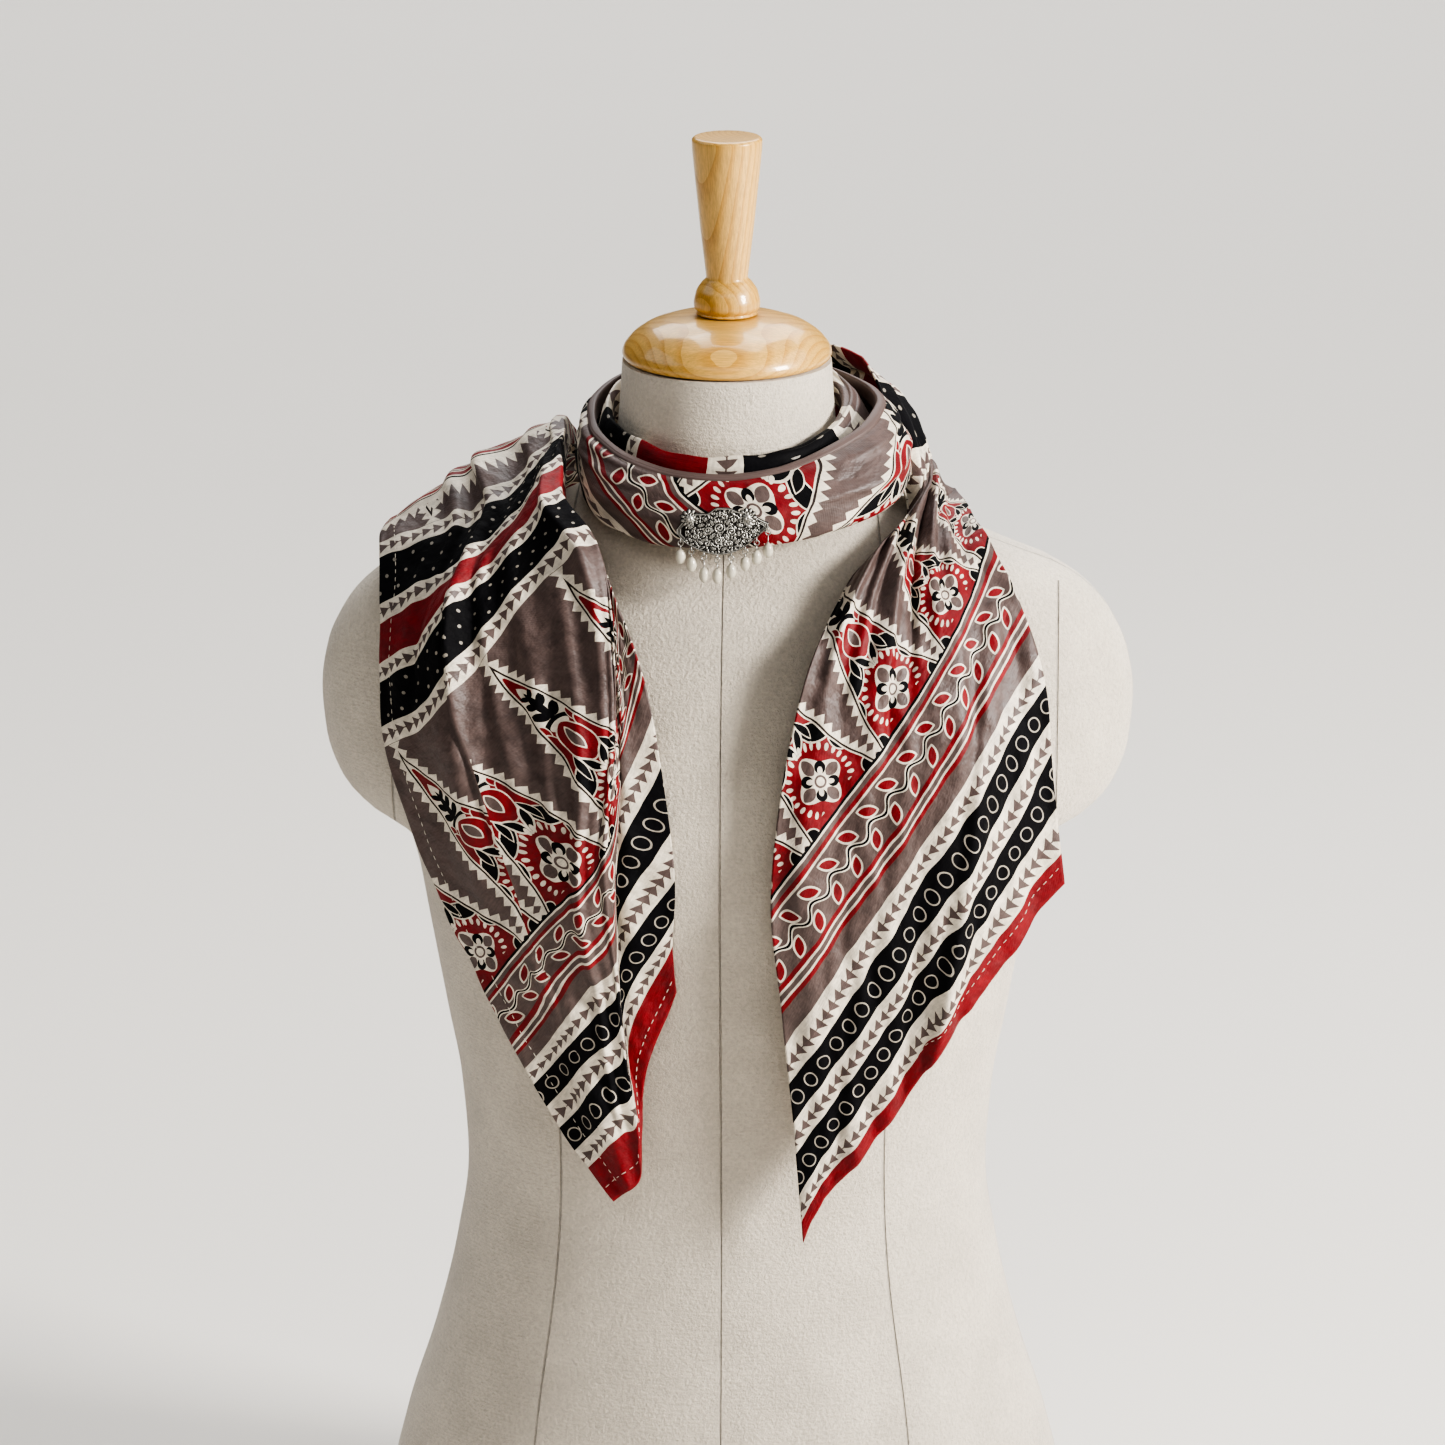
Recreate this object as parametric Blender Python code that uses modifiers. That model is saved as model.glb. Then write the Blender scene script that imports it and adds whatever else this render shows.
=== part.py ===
"""Block printed silk scarf with a pearl drop brooch, wound once round the neck of a dress form.

Sizes are millimetres in the tables and metres in the mesh. The form stands on Z = 0, its front
faces -Y, and +X is the right-hand side as seen from the front.
"""
import math

import bmesh
import bpy
import numpy as np

MM = 0.001
GAP = 0.3

# Dress form
FORM_SEGMENTS = 44
FORM_HEIGHT = 677.0
BUST_X, BUST_Z = 84.0, 436.0
BUST_SPREAD_X, BUST_SPREAD_Z = 46.0, 52.0
BUST_RISE = 13.0
# The arm stub swells out of the side: how sharply it stands off the body
STUB_POWER = 6
# height, half width of the body, how far the arm stub stands out of it, depth in front, behind
FORM_SECTIONS = (
    (0.0, 178.0, 0.0, 104.0, 112.0),
    (25.0, 179.5, 0.0, 106.0, 114.5),
    (60.0, 179.0, 0.0, 106.5, 114.0),
    (100.0, 171.0, 0.0, 104.0, 108.0),
    (150.0, 155.3, 0.0, 98.0, 97.0),
    (200.0, 143.2, 0.0, 91.5, 84.0),
    (245.0, 137.0, 0.0, 88.0, 77.0),
    (290.0, 140.0, 0.0, 91.0, 77.0),
    (330.0, 147.0, 0.0, 96.0, 81.0),
    (384.0, 156.5, 0.0, 103.0, 88.0),
    (410.0, 161.0, 0.0, 107.0, 92.0),
    (428.0, 165.0, 1.0, 109.0, 94.0),
    (434.0, 166.0, 9.0, 109.3, 94.6),
    (442.0, 167.0, 22.0, 109.6, 95.2),
    (456.0, 168.5, 32.5, 109.5, 96.0),
    (478.0, 169.5, 39.0, 107.5, 96.8),
    (503.0, 169.5, 41.0, 102.5, 97.0),
    (526.0, 167.0, 40.0, 95.5, 96.0),
    (546.0, 161.5, 36.5, 86.5, 94.0),
    (560.0, 157.0, 29.5, 78.5, 91.5),
    (571.0, 151.0, 19.5, 71.0, 88.0),
    (580.0, 139.0, 7.0, 65.0, 84.5),
    (590.0, 118.5, 1.0, 60.5, 80.0),
    (600.0, 93.0, 0.0, 57.5, 73.5),
    (610.0, 73.5, 0.0, 56.0, 66.5),
    (620.0, 63.0, 0.0, 55.3, 61.0),
    (634.0, 57.5, 0.0, 55.0, 57.3),
    (655.0, 55.0, 0.0, 54.5, 55.0),
    (677.0, 53.6, 0.0, 53.6, 53.6),
)
# Heights of the rings that the form is lofted through, closest where the shoulders slope
FORM_RING_STEPS = ((0.0, 60.0, 2), (60.0, 384.0, 8), (384.0, 428.0, 2), (428.0, 456.0, 4),
                   (456.0, 546.0, 5), (546.0, 634.0, 12), (634.0, 677.0, 2))

# Turned wood: radius and height of the outer side, top to bottom
CAP_PROFILE = ((0.0, 700.6), (17.5, 700.2), (30.0, 698.6), (41.0, 695.0), (48.5, 690.0),
               (52.8, 684.6), (53.9, 680.8), (52.6, 678.2), (50.0, 677.3), (0.0, 677.3))
FINIAL_PROFILE = ((0.0, 792.6), (16.6, 792.6), (18.0, 791.4), (17.9, 787.0), (16.3, 771.0),
                  (13.6, 745.0), (11.1, 724.0), (10.6, 719.5), (12.6, 717.8), (15.6, 713.6),
                  (17.1, 707.8), (16.9, 704.4), (15.2, 702.4), (15.8, 701.6), (15.4, 700.9),
                  (0.0, 700.9))
WOOD_SEGMENTS = 32

# Scarf
CLOTH_WALL = 1.6
FORM_LIFT = 1.6
BAND_LIFT = 2.6
NAPE_LIFT = 5.2

# Front stretch round the throat: angle from the front (positive to the right), then radius and
# height of its lower edge, its fullest line and its upper roll
BAND_ROWS = (
    (-132.0, 70.5, 630.0, 73.0, 645.0, 67.5, 662.0),
    (-105.0, 71.5, 621.0, 75.0, 636.0, 69.5, 656.5),
    (-82.0, 73.5, 614.5, 76.5, 629.0, 71.0, 649.5),
    (-62.0, 78.5, 609.0, 81.0, 622.5, 71.5, 643.5),
    (-42.0, 83.0, 602.5, 86.0, 616.0, 71.5, 638.5),
    (-20.0, 83.0, 598.0, 86.5, 611.5, 71.0, 634.5),
    (0.0, 82.5, 598.0, 86.5, 611.0, 70.5, 633.5),
    (22.0, 84.0, 600.0, 87.3, 613.5, 71.5, 636.0),
    (45.0, 90.5, 605.5, 93.5, 620.5, 74.5, 643.5),
    (64.0, 95.5, 611.5, 97.0, 627.0, 79.5, 651.0),
    (80.0, 94.0, 616.0, 95.5, 633.0, 80.5, 657.5),
    (97.0, 83.0, 622.0, 86.0, 640.0, 77.0, 660.0),
    (114.0, 74.5, 629.0, 76.5, 646.0, 71.0, 662.5),
    (132.0, 70.5, 633.0, 73.0, 649.0, 67.5, 664.0),
)
BAND_TUCK_IN, BAND_TUCK_UP = 7.5, 7.0
ROLL_TUCK_IN, ROLL_TUCK_DOWN = 3.4, 8.0
# How far past the throat stretch's end each tail begins, degrees
JOIN_STEP = 0.65

# Gathered upper edge between the throat stretch and the neck: angle, inner and outer radius, top
FOLD_ROWS = (
    (-126.0, 58.6, 61.8, 661.0),
    (-95.0, 59.2, 62.6, 655.5),
    (-50.0, 60.0, 64.2, 645.5),
    (0.0, 60.0, 64.0, 640.0),
    (50.0, 60.2, 66.5, 646.5),
    (95.0, 59.4, 66.5, 659.5),
    (126.0, 58.6, 61.8, 664.0),
)
FOLD_DEPTH = 13.0

# Right-hand tail, from its hemmed end up over the shoulder and round the nape: distance from the
# end hem along the cloth, then its outer edge, the soft fold along it and its inner edge
TAIL_RIGHT_ROWS = (
    (0.0, (175.0, -80.0, 423.0), (110.0, -106.0, 338.0), (43.0, -110.0, 238.0)),
    (40.0, (169.5, -80.0, 475.0), (108.0, -113.0, 398.0), (38.0, -115.0, 302.0)),
    (80.0, (163.0, -75.0, 530.0), (105.0, -116.0, 460.0), (32.0, -120.0, 364.0)),
    (130.0, (143.0, -47.0, 580.0), (100.0, -104.0, 524.0), (27.0, -124.0, 441.0)),
    (162.0, (130.0, -22.0, 596.0), (98.0, -84.0, 562.0), (36.0, -119.0, 509.0)),
    (185.0, (124.0, 0.0, 600.0), (98.0, -58.0, 586.0), (48.0, -105.0, 552.0)),
    (205.0, (119.0, 20.0, 602.0), (101.0, -32.0, 602.0), (66.0, -76.0, 584.0)),
    (228.0, (116.0, 42.0, 598.0), (104.0, 4.0, 614.0), (98.0, -28.0, 606.0)),
    (250.0, (110.0, 60.0, 592.0), (98.0, 32.0, 626.0), (92.0, 12.0, 648.0)),
    (285.0, (86.0, 92.0, 586.0), (79.0, 64.0, 634.0), (64.0, 50.0, 669.0)),
    (330.0, (46.0, 104.0, 584.0), (42.0, 86.0, 632.0), (28.0, 72.0, 669.0)),
    (375.0, (-2.0, 102.0, 596.0), (-4.0, 84.0, 636.0), (-6.0, 73.0, 667.0)),
    (415.0, (-40.0, 78.0, 618.0), (-42.0, 71.0, 642.0), (-37.0, 60.0, 664.0)),
)
TAIL_RIGHT_END = 446.0
# Largest folds: where each starts and ends along the tail, its place across it (0 is the outer
# edge, 1 the inner one) at either end, half width as a share of the tail, height
FOLDS_RIGHT = (
    (-20.0, 120.0, 0.34, 0.36, 0.08, 6.0),
    (95.0, 225.0, 0.56, 0.36, 0.08, 7.5),
    (40.0, 205.0, 0.90, 0.84, 0.09, 5.0),
    (225.0, 350.0, 0.55, 0.45, 0.12, 4.0),
)

# Left-hand tail, the same way: outer edge, the pleat down it, the edge of the upper layer, the
# start of the under layer, its inner edge
TAIL_LEFT_ROWS = (
    (0.0, (-54.5, -107.0, 257.5), (-47.0, -109.0, 264.0), (-40.5, -112.0, 272.5),
     (-39.5, -105.0, 312.0), (-22.0, -106.0, 371.0)),
    (19.0, (-66.5, -106.0, 273.0), (-55.0, -109.0, 286.0), (-42.0, -113.0, 302.0),
     (-47.0, -105.0, 335.0), (-24.0, -108.0, 395.0)),
    (43.0, (-80.5, -105.0, 292.5), (-64.0, -109.0, 310.0), (-47.0, -115.0, 330.0),
     (-51.5, -109.0, 376.0), (-22.5, -112.0, 433.0)),
    (77.0, (-100.5, -104.0, 330.0), (-76.0, -112.0, 359.0), (-51.5, -121.0, 384.0),
     (-53.0, -116.0, 448.0), (-33.0, -117.0, 518.0)),
    (128.0, (-122.5, -101.0, 373.0), (-95.0, -116.0, 404.0), (-55.0, -127.0, 451.0),
     (-49.0, -118.0, 507.0), (-54.0, -103.0, 582.0)),
    (180.0, (-150.0, -94.0, 433.5), (-117.0, -114.0, 475.0), (-52.0, -119.0, 541.0),
     (-56.0, -104.0, 568.0), (-60.0, -90.0, 590.0)),
    (232.0, (-171.0, -86.0, 497.0), (-133.0, -103.0, 527.0), (-62.0, -92.0, 602.0),
     (-64.0, -84.0, 602.0), (-66.0, -76.0, 599.0)),
    (268.0, (-173.5, -77.0, 529.5), (-136.0, -93.0, 566.0), (-81.0, -66.0, 622.0),
     (-80.0, -60.0, 616.0), (-79.0, -54.0, 609.0)),
    (298.0, (-174.0, -64.0, 558.5), (-128.0, -76.0, 587.0), (-84.0, -42.0, 634.0),
     (-82.5, -40.0, 627.0), (-81.0, -36.0, 619.0)),
    (328.0, (-176.0, -42.0, 585.0), (-118.0, -44.0, 607.0), (-84.0, -18.0, 642.0),
     (-83.0, -16.0, 635.0), (-81.5, -14.0, 627.0)),
    (352.0, (-177.0, -14.0, 590.5), (-126.0, -14.0, 620.0), (-84.0, 2.0, 645.0),
     (-82.0, 2.0, 638.0), (-81.0, 3.0, 630.0)),
    (385.0, (-166.0, 24.0, 588.0), (-120.0, 24.0, 617.0), (-82.0, 27.0, 636.0),
     (-80.0, 27.0, 631.0), (-78.0, 27.0, 624.0)),
    (430.0, (-128.0, 70.0, 580.0), (-98.0, 64.0, 600.0), (-75.0, 58.0, 612.0),
     (-72.0, 56.0, 612.5), (-69.0, 53.0, 613.0)),
    (480.0, (-75.0, 92.0, 580.0), (-62.0, 86.0, 594.0), (-50.0, 76.0, 605.0),
     (-48.0, 74.0, 606.5), (-45.0, 71.0, 608.0)),
    (530.0, (-20.0, 98.0, 582.0), (-16.0, 91.0, 594.0), (-10.0, 80.0, 608.0),
     (-9.0, 78.0, 611.0), (-8.0, 76.0, 615.0)),
    (575.0, (30.0, 90.0, 594.0), (30.0, 84.0, 606.0), (28.0, 73.0, 624.0),
     (27.0, 71.0, 630.0), (26.0, 68.0, 636.0)),
)
TAIL_LEFT_END = 612.0
FOLDS_LEFT = (
    (130.0, 365.0, 0.20, 0.36, 0.09, 8.0),
    (90.0, 300.0, 0.44, 0.56, 0.08, 6.0),
    (-20.0, 140.0, 0.33, 0.30, 0.10, 4.5),
    (330.0, 520.0, 0.30, 0.45, 0.12, 5.0),
)

# Brooch: a bent silver plate, read across at steps of x with the heights of its edges
PLATE_STATIONS = (
    (-22.4, 607.6, 609.8),
    (-18.0, 603.0, 615.0),
    (-13.0, 600.4, 618.2),
    (-7.0, 598.3, 618.6),
    (-1.8, 597.4, 621.6),
    (4.0, 598.1, 621.4),
    (9.0, 599.8, 619.6),
    (14.0, 602.8, 619.2),
    (19.0, 606.9, 615.8),
    (23.7, 611.0, 613.3),
)
PLATE_RADIUS = 89.4
PLATE_WALL = 1.2
PLATE_LEAN = 0.06
PLATE_LEAN_Z = 611.0
ROSETTES = ((-15.6, 615.6, 4.3), (13.2, 616.6, 4.3))
ROSETTE_RISE = 1.7
# Pearl drops: how far right of the middle, and the height of the pearl's middle
DROPS = ((-20.3, 595.7), (-14.8, 592.0), (-8.5, 586.7), (-1.8, 586.4),
         (5.2, 589.0), (12.2, 592.5), (17.9, 595.6), (23.6, 599.0))
PEARL_WIDE, PEARL_TALL = 5.2, 7.8
WIRE_RADIUS = 0.35
PIN_RADIUS = 0.3
PIN_INTO_EYE = 0.07
RING_TWIST = 0.35
RING_RADIUS = 1.3
RING_DROP = 1.0
RING_SEGMENTS, RING_SIDES = 10, 5
PEARL_SEGMENTS = 10


def monotone(knots, values, at):
    """Smooth curve through the knots that never swings past a value."""
    knots, values, at = (np.asarray(a, float) for a in (knots, values, at))
    step = np.diff(knots)
    slope = np.diff(values) / step
    tangent = np.zeros(len(knots))
    tangent[0], tangent[-1] = slope[0], slope[-1]
    same = slope[:-1] * slope[1:] > 0.0
    weight_a = 2.0 * step[1:] + step[:-1]
    weight_b = step[1:] + 2.0 * step[:-1]
    safe_a = np.where(same, slope[:-1], 1.0)
    safe_b = np.where(same, slope[1:], 1.0)
    mean = (weight_a + weight_b) / (weight_a / safe_a + weight_b / safe_b)
    tangent[1:-1] = np.where(same, mean, 0.0)
    at = np.clip(at, knots[0], knots[-1])
    i = np.clip(np.searchsorted(knots, at, side="right") - 1, 0, len(step) - 1)
    h = step[i]
    q = (at - knots[i]) / h
    return ((2 * q ** 3 - 3 * q ** 2 + 1) * values[i] + (q ** 3 - 2 * q ** 2 + q) * h * tangent[i]
            + (3 * q ** 2 - 2 * q ** 3) * values[i + 1] + (q ** 3 - q ** 2) * h * tangent[i + 1])


def columns(rows):
    return np.array(rows, float).T


FORM_Z, FORM_A, FORM_STUB, FORM_F, FORM_B = columns(FORM_SECTIONS)


def form_depths(x, y, z):
    """Half width, stub and depth of the form's section at z, on the side of the axis where y is."""
    half = monotone(FORM_Z, FORM_A, z)
    stub = monotone(FORM_Z, FORM_STUB, z)
    front = monotone(FORM_Z, FORM_F, z)
    back = monotone(FORM_Z, FORM_B, z)
    mound = BUST_RISE * np.exp(-((np.abs(x) - BUST_X) / BUST_SPREAD_X) ** 2
                               - ((z - BUST_Z) / BUST_SPREAD_Z) ** 2)
    return half, stub, np.where(y < 0.0, front + mound, back)


def form_field(p):
    """Above zero outside the form, below zero inside it."""
    half, stub, depth = form_depths(p[..., 0], p[..., 1], p[..., 2])
    wide = np.abs(p[..., 0])
    share = wide / (half + stub)
    for _ in range(5):
        over = half * share + stub * share ** STUB_POWER - wide
        share = share - over / (half + STUB_POWER * stub * share ** (STUB_POWER - 1))
    return share ** 2 + (p[..., 1] / depth) ** 2 - 1.0


def form_gradient(p):
    step = 0.5
    slope = np.empty_like(p)
    for axis in range(3):
        move = np.zeros(3)
        move[axis] = step
        slope[..., axis] = (form_field(p + move) - form_field(p - move)) / (2.0 * step)
    return slope


def clear_of_form(points, lift):
    """Points nearer the form than lift are moved straight out of it."""
    p = points.copy()
    for _ in range(6):
        slope = form_gradient(p)
        length = np.maximum(np.linalg.norm(slope, axis=-1), 1e-6)
        short = np.maximum(lift - form_field(p) / length, 0.0)
        p += slope / length[..., None] * np.minimum(short, 15.0)[..., None]
    return p


BAND_PHI, LOW_R, LOW_Z, MID_R, MID_Z, TOP_R, TOP_Z = columns(BAND_ROWS)


def clear_of_band(points, lift):
    """Points that would lie in the throat stretch, or just inside its face, go outside it."""
    p = points.copy()
    radius = np.hypot(p[..., 0], p[..., 1])
    phi = np.degrees(np.arctan2(p[..., 0], -p[..., 1]))
    at = np.clip(phi, BAND_PHI[0], BAND_PHI[-1])
    low_z, mid_z, top_z = (monotone(BAND_PHI, c, at) for c in (LOW_Z, MID_Z, TOP_Z))
    low_r, mid_r, top_r = (monotone(BAND_PHI, c, at) for c in (LOW_R, MID_R, TOP_R))
    upper = (p[..., 2] - mid_z) / (top_z - mid_z)
    lower = (p[..., 2] - low_z) / (mid_z - low_z)
    face = np.where(upper > 0.0, mid_r + (top_r - mid_r) * np.clip(upper, 0.0, 1.0) ** 1.6,
                    low_r + (mid_r - low_r) * np.clip(lower, 0.0, 1.0))
    beside = (p[..., 2] > low_z - 2.5) & (np.abs(phi) < BAND_PHI[-1] - 1.0)
    pushed = np.where(beside, np.maximum(radius, face + lift), radius)
    p[..., 0] *= pushed / radius
    p[..., 1] *= pushed / radius
    return p


def spline(knots, values, at):
    """Cardinal spline through rows of points, values shaped (rows, ...)."""
    knots, at = np.asarray(knots, float), np.asarray(at, float)
    values = np.asarray(values, float)
    step = np.diff(knots).reshape((-1,) + (1,) * (values.ndim - 1))
    slope = np.diff(values, axis=0) / step
    tangent = np.empty_like(values)
    tangent[0], tangent[-1] = slope[0], slope[-1]
    tangent[1:-1] = (slope[:-1] * step[1:] + slope[1:] * step[:-1]) / (step[:-1] + step[1:])
    i = np.clip(np.searchsorted(knots, at, side="right") - 1, 0, len(knots) - 2)
    h = step[i]
    q = ((at - knots[i]) / (knots[i + 1] - knots[i])).reshape((-1,) + (1,) * (values.ndim - 1))
    return ((2 * q ** 3 - 3 * q ** 2 + 1) * values[i] + (q ** 3 - 2 * q ** 2 + q) * h * tangent[i]
            + (3 * q ** 2 - 2 * q ** 3) * values[i + 1] + (q ** 3 - q ** 2) * h * tangent[i + 1])


def across(points, places, count):
    """Each row's points joined by a curve and read at even steps across."""
    at = np.linspace(0.0, 1.0, count)
    rows = [[monotone(places, row[:, axis], at) for axis in range(3)] for row in points]
    return np.array(rows).swapaxes(1, 2)


def fresh_scene(name):
    """Clears the file and gives two collections, for the parts and for what is joined to them."""
    for old in list(bpy.data.objects):
        bpy.data.objects.remove(old, do_unlink=True)
    parts = bpy.data.collections.new(name)
    tools = bpy.data.collections.new("joined_shapes")
    for made in (parts, tools):
        bpy.context.scene.collection.children.link(made)
    return parts, tools


def material(name, colour, roughness, metallic=0.0):
    made = bpy.data.materials.new(name)
    made.use_nodes = True
    shader = made.node_tree.nodes["Principled BSDF"]
    shader.inputs["Base Color"].default_value = (*colour, 1.0)
    shader.inputs["Roughness"].default_value = roughness
    shader.inputs["Metallic"].default_value = metallic
    return made


def add_object(parts, name, mesh, finish):
    made = bpy.data.objects.new(name, mesh)
    made.data.materials.append(finish)
    parts.objects.link(made)
    return made


def grid_mesh(name, points, closed=False):
    """Mesh of quads through a rows by columns grid of points in millimetres."""
    rows, count = points.shape[:2]
    mesh = bpy.data.meshes.new(name)
    faces = []
    for r in range(rows - 1):
        for c in range(count if closed else count - 1):
            n = (c + 1) % count
            faces.append((r * count + c, r * count + n, (r + 1) * count + n, (r + 1) * count + c))
    mesh.from_pydata((points.reshape(-1, 3) * MM).tolist(), [], faces)
    return mesh


def cloth(parts, name, points, finish):
    """A wall of cloth on its middle surface."""
    made = add_object(parts, name, grid_mesh(name, points), finish)
    made.data.shade_smooth()
    wall = made.modifiers.new("wall", "SOLIDIFY")
    wall.thickness = CLOTH_WALL * MM
    wall.offset = 0.0
    return made


def turned(parts, name, profile, finish):
    mesh = bpy.data.meshes.new(name)
    mesh.from_pydata([(r * MM, 0.0, z * MM) for r, z in profile],
                     [(i, i + 1) for i in range(len(profile) - 1)], [])
    made = add_object(parts, name, mesh, finish)
    screw = made.modifiers.new("turn", "SCREW")
    screw.steps = screw.render_steps = WOOD_SEGMENTS
    screw.merge_threshold = 0.0001
    screw.use_merge_vertices = True
    return made


def dress_form(parts, finish):
    heights = [0.0]
    for low, high, count in FORM_RING_STEPS:
        heights += [low + (high - low) * (i + 1) / count for i in range(count)]
    z = np.array(heights)[:, None]
    turn = np.linspace(0.0, 2.0 * math.pi, FORM_SEGMENTS, endpoint=False)[None, :]
    side = np.cos(turn)
    half = monotone(FORM_Z, FORM_A, z)
    x = half * side + monotone(FORM_Z, FORM_STUB, z) * np.sign(side) * np.abs(side) ** STUB_POWER
    z = np.broadcast_to(z, x.shape)
    y = form_depths(x, np.sin(turn) + 0.0 * z, z)[2] * np.sin(turn)
    points = np.stack([x, y, z], axis=-1)
    mesh = grid_mesh("dress_form", points, closed=True)
    made = add_object(parts, "dress_form", mesh, finish)
    shell = bmesh.new()
    shell.from_mesh(mesh)
    bmesh.ops.holes_fill(shell, edges=shell.edges, sides=FORM_SEGMENTS)
    bmesh.ops.recalc_face_normals(shell, faces=shell.faces)
    shell.to_mesh(mesh)
    shell.free()
    mesh.shade_smooth()
    mesh.set_sharp_from_angle(angle=math.radians(50.0))
    return made


def ring_point(phi, radius, height):
    turn = np.radians(phi)
    return np.stack([radius * np.sin(turn), -radius * np.cos(turn), height], axis=-1)


def band_section(phi):
    """Control points round the throat stretch's section at each angle, lower tuck to upper tuck."""
    low_r, low_z, mid_r, mid_z, top_r, top_z = (
        monotone(BAND_PHI, c, phi) for c in (LOW_R, LOW_Z, MID_R, MID_Z, TOP_R, TOP_Z))
    section = [
        ring_point(phi, low_r - BAND_TUCK_IN, low_z + BAND_TUCK_UP),
        ring_point(phi, low_r - 3.0, low_z + 0.6),
        ring_point(phi, low_r, low_z + 1.0),
        ring_point(phi, mid_r, mid_z),
        ring_point(phi, 0.5 * (mid_r + top_r) + 2.0, 0.45 * mid_z + 0.55 * top_z),
        ring_point(phi, top_r, top_z - 1.4),
        ring_point(phi, top_r - 2.6, top_z - 0.4),
        ring_point(phi, top_r - ROLL_TUCK_IN, top_z - ROLL_TUCK_DOWN),
    ]
    return np.stack(section, axis=1)


BAND_PLACES = (0.0, 0.13, 0.2, 0.42, 0.66, 0.83, 0.89, 1.0)
FACE_LOW, FACE_TOP = 0.2, 0.83


def throat_stretch(parts, finish, rows=42, count=14):
    phi = np.linspace(BAND_PHI[0], BAND_PHI[-1], rows)
    points = across(band_section(phi), BAND_PLACES, count)
    return cloth(parts, "throat_stretch", points, finish)


def join_row(side, places):
    """Where a tail meets the throat stretch: points up the stretch's face, just past its end."""
    section = band_section(np.array([side * BAND_PHI[-1]]))
    share = FACE_LOW + (FACE_TOP - FACE_LOW) * np.array(places)
    row = np.array([monotone(BAND_PLACES, section[0, :, axis], share) for axis in range(3)]).T
    turn = np.radians(side * JOIN_STEP)
    x = row[:, 0] * np.cos(turn) - row[:, 1] * np.sin(turn)
    y = row[:, 0] * np.sin(turn) + row[:, 1] * np.cos(turn)
    return np.stack([x, y, row[:, 2]], axis=-1)


def gathered_edge(parts, finish, rows=34, count=7):
    knots, inner, outer, top = columns(FOLD_ROWS)
    phi = np.linspace(knots[0], knots[-1], rows)
    inner, outer, top = (monotone(knots, c, phi) for c in (inner, outer, top))
    leg = monotone(BAND_PHI, TOP_R, phi) - ROLL_TUCK_IN - CLOTH_WALL - GAP
    section = [
        ring_point(phi, inner, top - FOLD_DEPTH),
        ring_point(phi, inner, top - 2.6),
        ring_point(phi, 0.5 * (inner + outer), top),
        ring_point(phi, outer, top - 2.6),
        ring_point(phi, leg, top - FOLD_DEPTH * 0.9),
    ]
    points = across(np.stack(section, axis=1), (0.0, 0.36, 0.5, 0.64, 1.0), count)
    return cloth(parts, "gathered_edge", points, finish)


def relief(folds, stations, count):
    """How far the folds stand out of the cloth at each point of a tail's grid."""
    place = np.linspace(0.0, 1.0, count)[None, :]
    height = np.zeros((len(stations), count))
    for start, end, place_start, place_end, width, rise in folds:
        share = np.clip((stations - start) / (end - start), 0.0, 1.0)[:, None]
        centre = place_start + (place_end - place_start) * share
        height += rise * np.sin(math.pi * share) ** 0.8 * np.exp(-((place - centre) / width) ** 2)
    return height


def tail_surface(table, end, side, places, folds, rows, count, lift):
    """Grid on a tail's middle surface, read from its table and set clear of what it lies on."""
    knots = np.array([row[0] for row in table] + [end])
    control = np.array([row[1:] for row in table] + [join_row(side, places)])
    stations = np.linspace(knots[0], knots[-1], rows)
    points = across(spline(knots, control, stations), places, count)
    lifts = lift(stations)[:, None]
    points = clear_of_form(points, lifts)
    slope = form_gradient(points)
    outward = slope / np.linalg.norm(slope, axis=-1, keepdims=True)
    points += outward * relief(folds, stations, count)[..., None]
    points = clear_of_band(points, BAND_LIFT)
    return clear_of_form(points, lifts)


def right_tail(parts, finish, rows=40, count=15):
    def lift(v):
        return np.interp(v, (250.0, 300.0, 420.0, 446.0), (FORM_LIFT, NAPE_LIFT, NAPE_LIFT, 2.0))
    places = (0.0, 0.42, 1.0)
    points = tail_surface(TAIL_RIGHT_ROWS, TAIL_RIGHT_END, -1.0, places, FOLDS_RIGHT,
                          rows, count, lift)
    return cloth(parts, "right_tail", points, finish)


def left_tail(parts, finish, rows=48, count=18):
    def lift(v):
        return np.full_like(v, FORM_LIFT)
    places = (0.0, 0.28, 0.64, 0.74, 1.0)
    points = tail_surface(TAIL_LEFT_ROWS, TAIL_LEFT_END, 1.0, places, FOLDS_LEFT,
                          rows, count, lift)
    return cloth(parts, "left_tail", points, finish)


def plate_depth(x, z):
    """How far in front of the axis the plate's middle layer is."""
    return np.sqrt(PLATE_RADIUS ** 2 - x ** 2) - PLATE_LEAN * (z - PLATE_LEAN_Z)


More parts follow.
